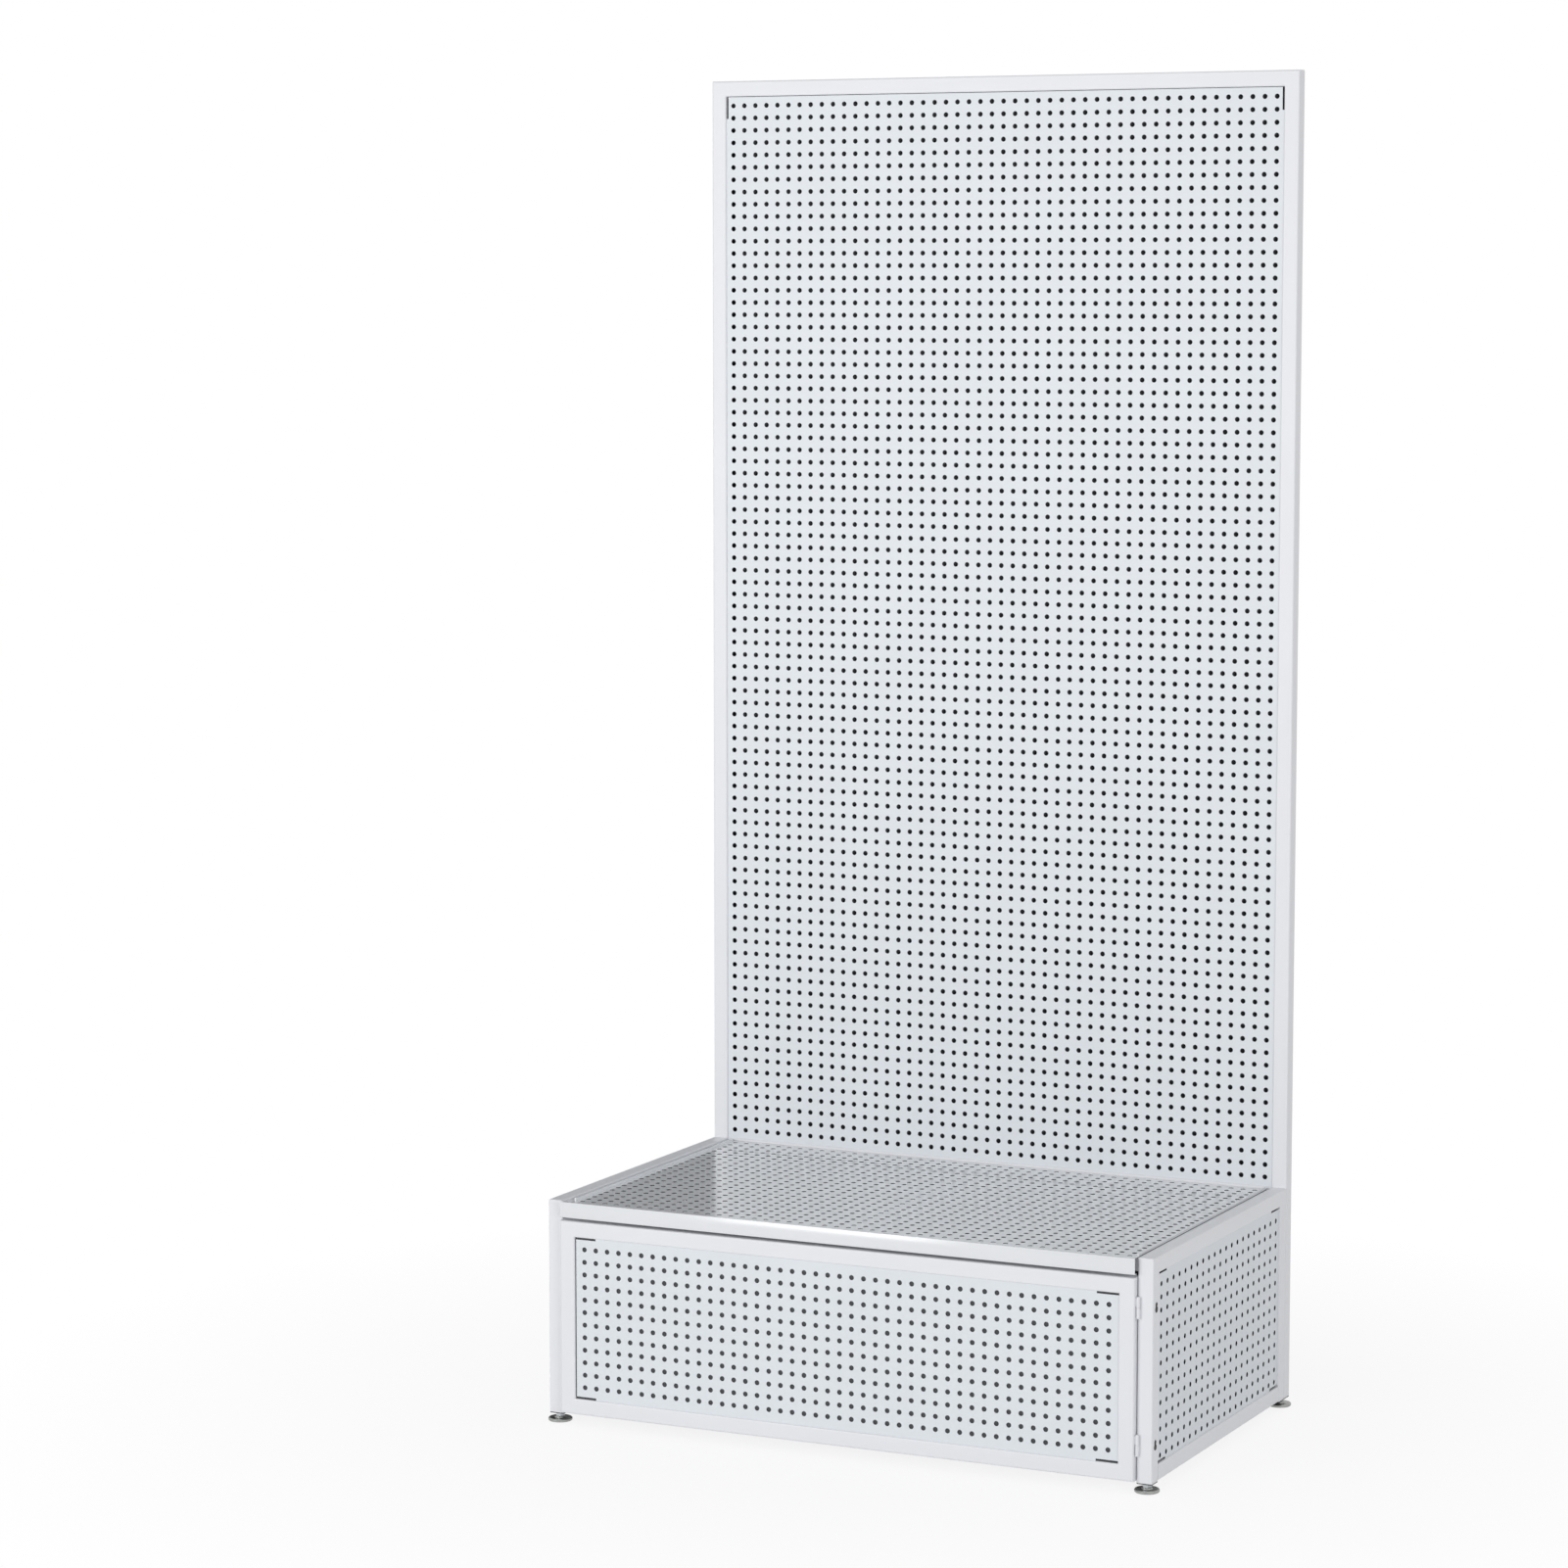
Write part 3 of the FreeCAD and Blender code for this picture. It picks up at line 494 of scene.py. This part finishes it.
class RACK_OT_door_sheet(bpy.types.Operator):
    """Perforated panel of the door, slit along its top and bottom at the corners"""

    bl_idname = "rack.door_sheet"
    bl_label = "Door sheet"

    def execute(self, context):
        sizes = context.scene.rack_sizes
        low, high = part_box("door_panel")
        limits = ((low.x, high.x), (low.z, high.z))
        column, columns = centred(low.x, high.x, sizes.pitch, sizes.edge_margin)
        row, rows = centred(low.z, high.z, sizes.pitch, sizes.edge_margin)
        slits = corner_slits(limits, sizes.slit_length, sizes.slit_width)
        slits.append(((low.x, low.z + sizes.slit_width), (low.x + sizes.door_slot, high.z)))
        pitches = (sizes.pitch, sizes.pitch)
        piece = perforated(
            "door_sheet", SHEET_SLOT, limits, (column, row), (columns, rows), pitches, slits
        )
        settle(piece, UPRIGHT_TURN, (0, low.y, 0))
        hand_over(piece, DOOR, SHEET_SLOT, "door_panel")
        # A dark sheet behind the door's holes paints the shade inside the cabinet.
        self.lining(sizes, low, high)
        return {"FINISHED"}

    def lining(self, sizes, low, high):
        """Dark sheet a little behind the holes, its border turned forward to meet them: painted
        shade for the inside of the cabinet seen through the holes.
        """
        deselect_all()
        gap = sizes.lining_gap
        middle = (0, high.y + gap, (low.z + high.z) / 2)
        bpy.ops.mesh.primitive_plane_add(size=1, location=middle, rotation=UPRIGHT_TURN)
        piece = bpy.context.object
        piece.name = "door_lining"
        edge = 2 * sizes.lining_inset
        piece.scale = (high.x - low.x - edge, high.z - low.z - edge, 1)
        bpy.ops.object.transform_apply(location=True, rotation=True, scale=True)
        pick(piece, "EDGE", lambda e: True)
        bpy.ops.mesh.extrude_region_move(TRANSFORM_OT_translate={"value": (0, -gap, 0)})
        bpy.ops.mesh.select_all(action="SELECT")
        bpy.ops.mesh.normals_make_consistent(inside=False)
        object_mode()
        apply_modifier(piece, "SOLIDIFY", thickness=sizes.lining, offset=-1.0)
        smooth(piece)
        hand_over(piece, DOOR, "graphite_powder_coat_sheet")


class RACK_OT_side_sheets(bpy.types.Operator):
    """Perforated panels of the cabinet's two sides"""

    bl_idname = "rack.side_sheets"
    bl_label = "Side sheets"

    def execute(self, context):
        sizes = context.scene.rack_sizes
        for word, side in (("left", -1), ("right", 1)):
            low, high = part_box("side_panel_" + word)
            middle = (low.y + high.y) / 2
            half = (high.y - low.y) / 2
            limits = ((-half, half), (low.z, high.z))
            column, columns = centred(-half, half, sizes.side_pitch, sizes.edge_margin)
            row, rows = centred(low.z, high.z, sizes.pitch, sizes.edge_margin)
            row -= sizes.side_rows_drop
            slits = corner_slits(limits, sizes.slit_length, sizes.slit_width)
            pitches = (sizes.side_pitch, sizes.pitch)
            name = "side_sheet_" + word
            piece = perforated(
                name, SHEET_SLOT, limits, (column, row), (columns, rows), pitches, slits
            )
            outer = high.x if side > 0 else low.x
            settle(piece, (math.pi / 2, 0, side * math.pi / 2), (outer, middle, 0))
            hand_over(piece, STAND, SHEET_SLOT, "side_panel_" + word)
        return {"FINISHED"}


class RACK_OT_deck(bpy.types.Operator):
    """Perforated deck, its raised side lips and its folded front apron"""

    bl_idname = "rack.deck"
    bl_label = "Deck tray"

    def execute(self, context):
        sizes = context.scene.rack_sizes
        low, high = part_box("deck_tray")
        deck_top = high.z - sizes.deck_drop
        half = high.x - sizes.lip_inset
        front = low.y + sizes.sheet
        limits = ((-half, half), (front, high.y))
        inner = half - sizes.lip_thickness
        column, columns = centred(-inner, inner, sizes.pitch, sizes.edge_margin)
        row, rows = centred(front, high.y, sizes.pitch, sizes.edge_margin)
        pitches = (sizes.pitch, sizes.pitch)
        plate = perforated(
            "deck_sheet", TRAY_SLOT, limits, (column, row), (columns, rows), pitches
        )
        settle(plate, place=(0, 0, deck_top))
        hand_over(plate, STAND, TRAY_SLOT, "deck_tray")
        self.lips(sizes, half, deck_top, high)
        self.apron(sizes, low, high)
        return {"FINISHED"}

    def lips(self, sizes, half, deck_top, high):
        """Two bars along the deck's sides, as high as the rails."""
        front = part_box("base_post_front_left")[1].y
        size = Vector((sizes.lip_thickness, high.y - front, sizes.deck_drop))
        bars = []
        for side in (-1, 1):
            deselect_all()
            middle = Vector((side * (half - size.x / 2), front + size.y / 2, deck_top + size.z / 2))
            bpy.ops.mesh.primitive_cube_add(size=1, location=middle, scale=size)
            bar = bpy.context.object
            settle(bar, place=middle)
            points = bar.data.vertices
            pick(bar, "EDGE", lambda e: all(points[i].co.z > high.z - TOUCH for i in e.vertices))
            bpy.ops.mesh.bevel(offset=sizes.lip_round, segments=3, affect="EDGES")
            object_mode()
            bars.append(bar)
        piece = join(bars, "deck_lips")
        smooth(piece)
        hand_over(piece, STAND, TRAY_SLOT, "deck_tray")

    def apron(self, sizes, low, high):
        """The deck's front edge, folded down and then back under itself."""
        deselect_all()
        bottom = high.z - sizes.apron_height
        middle = (0, low.y, (bottom + high.z) / 2)
        bpy.ops.mesh.primitive_plane_add(size=1, location=middle, rotation=UPRIGHT_TURN)
        piece = bpy.context.object
        piece.name = "deck_apron"
        piece.scale = (high.x - low.x, sizes.apron_height, 1)
        bpy.ops.object.transform_apply(location=True, rotation=True, scale=True)
        points = piece.data.vertices

        def lowest(edge):
            return all(abs(points[i].co.z - bottom) < TOUCH for i in edge.vertices)

        pick(piece, "EDGE", lowest)
        bpy.ops.mesh.extrude_region_move(
            TRANSFORM_OT_translate={"value": (0, sizes.apron_return, 0)}
        )
        object_mode()
        points = piece.data.vertices
        pick(piece, "EDGE", lambda e: lowest(e) and all(
            abs(points[i].co.y - low.y) < TOUCH for i in e.vertices
        ))
        bpy.ops.mesh.bevel(offset=sizes.apron_fold, segments=4, affect="EDGES")
        object_mode()
        if max(piece.data.polygons, key=lambda f: f.area).normal.y > 0:
            flip(piece)
        apply_modifier(piece, "SOLIDIFY", thickness=sizes.sheet, offset=-1.0)
        apply_modifier(
            piece, "BEVEL", width=sizes.edge_round, segments=2,
            limit_method="ANGLE", angle_limit=CUT_ANGLE,
        )
        smooth(piece)
        hand_over(piece, STAND, TRAY_SLOT, "deck_tray")


class RACK_OT_weld_beads(bpy.types.Operator):
    """Rippled weld beads where the ties, the bearer and the ledges are joined"""

    bl_idname = "rack.weld_beads"
    bl_label = "Weld beads"

    def execute(self, context):
        sizes = context.scene.rack_sizes
        pattern = self.bead(sizes)
        beads = []
        for middle, turn in self.places():
            bead = copy_piece(pattern, "weld_bead", (0, 0, 0))
            settle(bead, turn, middle)
            beads.append(bead)
        deselect_all()
        pattern.select_set(True)
        bpy.ops.object.delete()
        piece = join(beads, "weld_beads")
        smooth(piece)
        hand_over(piece, STAND, "white_powder_coat_tube")
        return {"FINISHED"}

    def bead(self, sizes):
        """One bead along +Z, its rings alternately full and drawn in."""
        deselect_all()
        bpy.ops.mesh.primitive_cylinder_add(
            vertices=8, radius=sizes.bead_radius, depth=sizes.bead_length, location=(0, 0, 0)
        )
        piece = bpy.context.object
        rings = 9
        end_width, waist_width = 0.45, 0.82
        points = piece.data.vertices
        pick(piece, "EDGE", lambda e: points[e.vertices[0]].co.z * points[e.vertices[1]].co.z < 0)
        bpy.ops.mesh.subdivide(number_cuts=rings)
        object_mode()
        step = sizes.bead_length / (rings + 1)
        for i in range(0, rings + 2, 2):
            height = i * step - sizes.bead_length / 2
            share = end_width if i in (0, rings + 1) else waist_width
            pick(piece, "VERT", lambda v: abs(v.co.z - height) < TOUCH)
            bpy.ops.transform.resize(value=(share, share, 1), center_override=(0, 0, height))
            object_mode()
        return piece

    def places(self):
        """Middle of each bead, and how it is turned from +Z."""
        upright, sideways, lengthways = (0, 0, 0), (0, math.pi / 2, 0), (math.pi / 2, 0, 0)
        along_ledge = (0.12, 0.5, 0.88)
        found = []
        for name in ("front_tie_top", "front_tie_bottom", "rear_tie_top", "rear_tie_bottom"):
            low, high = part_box(name)
            middle = (low + high) / 2
            for x in (low.x, high.x):
                found.append(((x, low.y, middle.z), upright))
                if "top" in name:
                    found.append(((x, middle.y, low.z), lengthways))
        low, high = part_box("deck_bearer")
        for y in (low.y, high.y):
            for x in (low.x, high.x):
                found.append(((x, y, (low.z + high.z) / 2), upright))
            found.append(((0, y, low.z), sideways))
        for word, side in (("left", -1), ("right", 1)):
            low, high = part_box("deck_ledge_" + word)
            x = high.x if side > 0 else low.x
            for share in along_ledge:
                found.append(((x, low.y + share * (high.y - low.y), low.z), lengthways))
        return found


class RACK_OT_keyhole_shade_discs(bpy.types.Operator):
    """Black discs in the keyholes of the front posts: painted shade for the dark inside of the
    tubes
    """

    bl_idname = "rack.keyhole_plugs"
    bl_label = "Keyhole plugs"

    def execute(self, context):
        sizes = context.scene.rack_sizes
        low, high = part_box("base_post_front_right")
        across = (low.y + high.y) / 2
        lobe, slot = sizes.keyhole_lobe / 2, sizes.keyhole_slot / 2
        plugs = []
        for height in sizes.keyhole_heights:
            start = low.z + height - sizes.keyhole_length / 2
            end = start + sizes.keyhole_length
            for side in (-1, 1):
                face = side * high.x
                plugs.append(self.disc(sizes, lobe, (face, across, start + lobe), side))
                plugs.append(self.disc(sizes, slot, (face, across, end - slot), side))
        # Black nylon here is painted shade inside the keyholes.
        piece = join(plugs, "keyhole_plugs")
        smooth(piece)
        hand_over(piece, STAND, "black_nylon")
        return {"FINISHED"}

    def disc(self, sizes, radius, middle, side):
        """One domed disc, its rim just inside the hole and its crown a little proud."""
        dome = 0.8 * sizes.plug_rise
        deselect_all()
        bpy.ops.mesh.primitive_cylinder_add(
            vertices=24, radius=radius - sizes.plug_gap, depth=2 * sizes.plug_rise,
            location=(0, 0, 0),
        )
        piece = bpy.context.object
        points = piece.data.vertices
        pick(piece, "EDGE", lambda e: all(points[i].co.z > 0 for i in e.vertices))
        bpy.ops.mesh.bevel(offset=dome, segments=3, affect="EDGES")
        object_mode()
        settle(piece, (0, side * math.pi / 2, 0), middle)
        return piece


# Finishes


def add_node(tree, kind, inputs=None, **settings):
    """Add a node with its settings; an input is linked to a socket or set to a value."""
    node = tree.nodes.new(kind)
    for key, value in settings.items():
        setattr(node, key, value)
    for key, value in (inputs or {}).items():
        if isinstance(value, bpy.types.NodeSocket):
            tree.links.new(value, node.inputs[key])
        else:
            node.inputs[key].default_value = value
    return node


def new_tree(owner):
    """The empty node tree of a material or world."""
    owner.use_nodes = True
    owner.node_tree.nodes.clear()
    return owner.node_tree


def new_finish(name):
    """A material, its node tree, and the place on the piece that its patterns read."""
    material = bpy.data.materials.new(name)
    tree = new_tree(material)
    return material, tree, add_node(tree, "ShaderNodeTexCoord").outputs["Object"]


def deepened(paint, share):
    """A colour taken this share darker."""
    return [c * (1 - share) for c in paint[:3]] + [1.0]


def coated(name, paint, roughness, cloud_depth):
    """Powder coat: sprayed polyester powder, baked; satin, with a fine orange peel."""
    material, tree, spot = new_finish(name)
    # Film thickness drifts over a hand's width, and the tone drifts very slightly with it.
    cloud = add_node(tree, "ShaderNodeTexNoise", {
        "Vector": spot, "Scale": per_mm(140), "Detail": 2.0,
    })
    tone = add_node(tree, "ShaderNodeMix", {
        0: cloud.outputs[0], 6: list(paint), 7: deepened(paint, cloud_depth),
    }, data_type="RGBA")
    # Orange peel is about 1.5 mm across; it is drawn at 3 mm so that it shows at all.
    peel = add_node(tree, "ShaderNodeTexNoise", {
        "Vector": spot, "Scale": per_mm(3), "Detail": 1.0,
    })
    bump = add_node(tree, "ShaderNodeBump", {
        "Height": peel.outputs[0], "Strength": 0.18, "Distance": 0.0001,
    })
    shader = add_node(tree, "ShaderNodeBsdfPrincipled", {
        "Base Color": tone.outputs[2], "Roughness": roughness, "IOR": 1.5,
        "Normal": bump.outputs[0],
    })
    add_node(tree, "ShaderNodeOutputMaterial", {"Surface": shader.outputs[0]})
    return material


def punched(name, steel):
    """Cut edges of a punched sheet, painted dark as the shade inside the holes, and rough."""
    material, tree, spot = new_finish(name)
    # Shear marks run through the sheet, a fraction of a millimetre apart; drawn at 1 mm.
    marks = add_node(tree, "ShaderNodeTexNoise", {"Vector": spot, "Scale": per_mm(1)})
    tone = add_node(tree, "ShaderNodeMix", {
        0: marks.outputs[0], 6: list(steel), 7: deepened(steel, 0.3),
    }, data_type="RGBA")
    shader = add_node(tree, "ShaderNodeBsdfPrincipled", {
        "Base Color": tone.outputs[2], "Roughness": 0.6,
    })
    add_node(tree, "ShaderNodeOutputMaterial", {"Surface": shader.outputs[0]})
    return material


def plated(name, metal, roughness, grain):
    """Metal whose plating or drawing leaves a faint grain; it mirrors the studio softly."""
    material, tree, spot = new_finish(name)
    spangle = add_node(tree, "ShaderNodeTexNoise", {
        "Vector": spot, "Scale": per_mm(grain), "Detail": 3.0,
    })
    tone = add_node(tree, "ShaderNodeMix", {
        0: spangle.outputs[0], 6: list(metal), 7: deepened(metal, 0.28),
    }, data_type="RGBA")
    drift = 0.08
    spread = add_node(tree, "ShaderNodeMapRange", {
        "Value": spangle.outputs[0], "To Min": roughness - drift, "To Max": roughness + drift,
    })
    shader = add_node(tree, "ShaderNodeBsdfPrincipled", {
        "Base Color": tone.outputs[2], "Metallic": 1.0, "Roughness": spread.outputs[0],
    })
    add_node(tree, "ShaderNodeOutputMaterial", {"Surface": shader.outputs[0]})
    return material


def moulded(name, plastic, roughness):
    """Injection-moulded plastic with a fine spark-eroded texture that dulls its shine."""
    material, tree, spot = new_finish(name)
    # Spark-eroded grain is near 0.1 mm; it is drawn at 0.8 mm so that it shows at all.
    grain = add_node(tree, "ShaderNodeTexNoise", {"Vector": spot, "Scale": per_mm(0.8)})
    bump = add_node(tree, "ShaderNodeBump", {
        "Height": grain.outputs[0], "Strength": 0.2, "Distance": 0.00005,
    })
    shader = add_node(tree, "ShaderNodeBsdfPrincipled", {
        "Base Color": list(plastic), "Roughness": roughness, "IOR": 1.5,
        "Normal": bump.outputs[0],
    })
    add_node(tree, "ShaderNodeOutputMaterial", {"Surface": shader.outputs[0]})
    return material


# Record slot: name of the real finish, its maker, its colour, and the maker's other values
FINISHES = {
    "white_powder_coat_tube": ("White powder coat on tube", coated, "tube", (0.40, 0.04)),
    "white_powder_coat_sheet": ("White powder coat on sheet", coated, "sheet", (0.42, 0.06)),
    "white_powder_coat_tray": ("White powder coat on tray", coated, "tray", (0.16, 0.05)),
    "white_powder_coat_hinge": ("White powder coat on hinge", coated, "tube", (0.45, 0.05)),
    # Graphite on the rear sheets and the door's lining is painted shade behind the holes.
    "graphite_powder_coat_sheet": ("Graphite powder coat", coated, "graphite", (0.50, 0.10)),
    "zinc_plated_steel": ("Bright zinc plate", plated, "zinc", (0.30, 4.0)),
    "zinc_plated_foot": ("Dull zinc plate", plated, "foot_zinc", (0.38, 6.0)),
    "white_nylon_washer": ("White moulded nylon", moulded, "washer", (0.45,)),
    "black_nylon": ("Black moulded nylon", moulded, "nylon", (0.50,)),
    "catch_plastic": ("White moulded plastic", moulded, "catch", (0.45,)),
    "magnet_steel": ("Ground steel", plated, "magnet", (0.42, 1.5)),
}


class RACK_OT_finishes(bpy.types.Operator):
    """Powder coats, platings and plastics, and their places on the CAD nodes"""

    bl_idname = "rack.finishes"
    bl_label = "Finishes"

    def execute(self, context):
        colours = context.scene.rack_colours
        for name, make, paint, values in FINISHES.values():
            make(name, tuple(getattr(colours, paint)), *values)
        # The dark hole walls: painted shade inside the holes.
        punched(HOLE_WALL_SHADE, tuple(colours.edge))
        for part in frame["record"]["subparts"]:
            node = frame["nodes"][part["node"]]
            node.data.materials.clear()
            finish = FINISHES[part["material_slot"]][0]
            node.data.materials.append(bpy.data.materials[finish])
        return {"FINISHED"}


# Studio


def seen_directly(tree):
    """1 for rays from the camera, mirrored or let through, and 0 for those that only light."""
    path = add_node(tree, "ShaderNodeLightPath")
    seen = path.outputs["Is Camera Ray"]
    for name in ("Is Glossy Ray", "Is Transmission Ray"):
        seen = add_node(
            tree, "ShaderNodeMath", {0: seen, 1: path.outputs[name]}, operation="MAXIMUM"
        ).outputs[0]
    return seen


class RACK_OT_studio(bpy.types.Operator):
    """Pale floor, soft light, white surround and the camera"""

    bl_idname = "rack.studio"
    bl_label = "Studio"

    def execute(self, context):
        studio = context.scene.rack_studio
        self.surround(context, studio)
        self.floor(context)
        self.lamp("Key light", studio, studio.key_place, studio.key_power)
        self.lamp("Fill light", studio, studio.fill_place, studio.fill_power)
        self.card(context, studio)
        self.camera(context, studio)
        context.scene.view_settings.view_transform = "Standard"
        return {"FINISHED"}

    def surround(self, context, studio):
        """White where it is seen directly, and an even, lower light everywhere else."""
        world = bpy.data.worlds.new("White surround")
        context.scene.world = world
        tree = new_tree(world)
        strength = add_node(tree, "ShaderNodeMath", {
            0: seen_directly(tree), 1: 1.0 - studio.sky, 2: studio.sky,
        }, operation="MULTIPLY_ADD")
        light = add_node(tree, "ShaderNodeBackground", {
            "Color": (1.0, 1.0, 1.0, 1.0), "Strength": strength.outputs[0],
        })
        add_node(tree, "ShaderNodeOutputWorld", {"Surface": light.outputs[0]})

    def floor(self, context):
        """A pale floor that keeps the rack's shadow and runs out into the surround."""
        deselect_all()
        bpy.ops.mesh.primitive_plane_add(size=FLOOR_SIZE, location=FLOOR_MIDDLE)
        floor = bpy.context.object
        floor.name = "studio_floor"
        settle(floor, place=FLOOR_MIDDLE)
        material, tree, spot = new_finish("Pale studio floor")
        paper = add_node(tree, "ShaderNodeBsdfDiffuse", {
            "Color": tuple(context.scene.rack_colours.floor),
        })
        # Seen directly the floor is mostly plain white near the rack, where it keeps a pale
        # shadow, and wholly white further out, so that open floor meets the surround.
        glow = add_node(tree, "ShaderNodeEmission", {"Color": (1.0, 1.0, 1.0, 1.0)})
        distance = add_node(tree, "ShaderNodeVectorMath", {0: spot}, operation="LENGTH")
        white = add_node(tree, "ShaderNodeMapRange", {
            "Value": distance.outputs["Value"], "From Min": FLOOR_NEAR, "From Max": FLOOR_FAR,
            "To Min": FLOOR_WHITE_NEAR, "To Max": 1.0,
        })
        share = add_node(tree, "ShaderNodeMath", {
            0: seen_directly(tree), 1: white.outputs[0],
        }, operation="MULTIPLY")
        both = add_node(tree, "ShaderNodeMixShader", {
            0: share.outputs[0], 1: paper.outputs[0], 2: glow.outputs[0],
        })
        add_node(tree, "ShaderNodeOutputMaterial", {"Surface": both.outputs[0]})
        floor.data.materials.append(material)

    def card(self, context, studio):
        """A dark card that only shines show, as the deck does left of the pegboard."""
        deselect_all()
        bpy.ops.mesh.primitive_plane_add(
            size=studio.card_width, location=studio.card_place, rotation=UPRIGHT_TURN
        )
        card = bpy.context.object
        card.name = "studio_card"
        settle(card, UPRIGHT_TURN, studio.card_place)
        material = bpy.data.materials.new("Dark studio card")
        tree = new_tree(material)
        paper = add_node(tree, "ShaderNodeBsdfDiffuse", {
            "Color": tuple(context.scene.rack_colours.card),
        })
        add_node(tree, "ShaderNodeOutputMaterial", {"Surface": paper.outputs[0]})
        card.data.materials.append(material)
        card.visible_camera = False
        card.visible_diffuse = False
        card.visible_transmission = False
        card.visible_shadow = False

    def lamp(self, name, studio, stand, watts):
        """One soft lamp, turned to face the rack."""
        aim = Vector(studio.lamp_aim) - Vector(stand)
        turn = aim.to_track_quat("-Z", "Y").to_euler()
        deselect_all()
        bpy.ops.object.light_add(type="AREA", location=stand, rotation=turn)
        lamp = bpy.context.object
        lamp.name = name
        lamp.data.energy = watts
        lamp.data.size = studio.lamp_size

    def camera(self, context, studio):
        """The photograph's view, from the camera's place, its angles and focal length."""
        around, down = studio.azimuth, studio.elevation
        forward = Vector((
            -math.sin(around) * math.cos(down), math.cos(around) * math.cos(down), -math.sin(down)
        ))
        level = forward.cross(Vector((0, 0, 1))).normalized()
        below = forward.cross(level)
        right = level * math.cos(studio.roll) + below * math.sin(studio.roll)
        upward = right.cross(forward)
        turn = Matrix((right, upward, -forward)).transposed().to_euler()
        deselect_all()
        bpy.ops.object.camera_add(location=studio.camera_place, rotation=turn)
        camera = bpy.context.object
        camera.data.sensor_width = SENSOR_MM
        camera.data.lens = studio.focal_pixels / IMAGE_PIXELS * SENSOR_MM
        camera.data.clip_start = CLIP_NEAR
        camera.data.clip_end = CLIP_FAR
        context.scene.camera = camera


STEPS = (
    RACK_OT_finishes, RACK_OT_back_sheets, RACK_OT_door_sheet, RACK_OT_side_sheets,
    RACK_OT_deck, RACK_OT_weld_beads, RACK_OT_keyhole_shade_discs, RACK_OT_studio,
)


class RACK_PT_panel(bpy.types.Panel):
    """Sizes, colours and building steps of the rack"""

    bl_idname = "RACK_PT_panel"
    bl_label = "Pegboard rack"
    bl_space_type = "VIEW_3D"
    bl_region_type = "UI"
    bl_category = "Rack"

    def draw(self, context):
        for group_name, kind in GROUPS.items():
            box = self.layout.box()
            for name in kind.__annotations__:
                box.prop(getattr(context.scene, group_name), name)
        for step in STEPS:
            self.layout.operator(step.bl_idname)


GROUPS = {"rack_sizes": RackSizes, "rack_colours": RackColours, "rack_studio": RackStudio}


def register():
    for kind in (*GROUPS.values(), *STEPS, RACK_PT_panel):
        bpy.utils.register_class(kind)
    for name, group in GROUPS.items():
        setattr(bpy.types.Scene, name, bpy.props.PointerProperty(type=group))


def unregister():
    for name in GROUPS:
        delattr(bpy.types.Scene, name)
    for kind in (RACK_PT_panel, *STEPS, *GROUPS.values()):
        bpy.utils.unregister_class(kind)


def main():
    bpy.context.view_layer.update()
    register()
    bpy.ops.rack.finishes()
    bpy.ops.rack.back_sheets()
    bpy.ops.rack.door_sheet()
    bpy.ops.rack.side_sheets()
    bpy.ops.rack.deck()
    bpy.ops.rack.weld_beads()
    bpy.ops.rack.keyhole_plugs()
    bpy.ops.rack.studio()


if __name__ == "__main__":
    main()
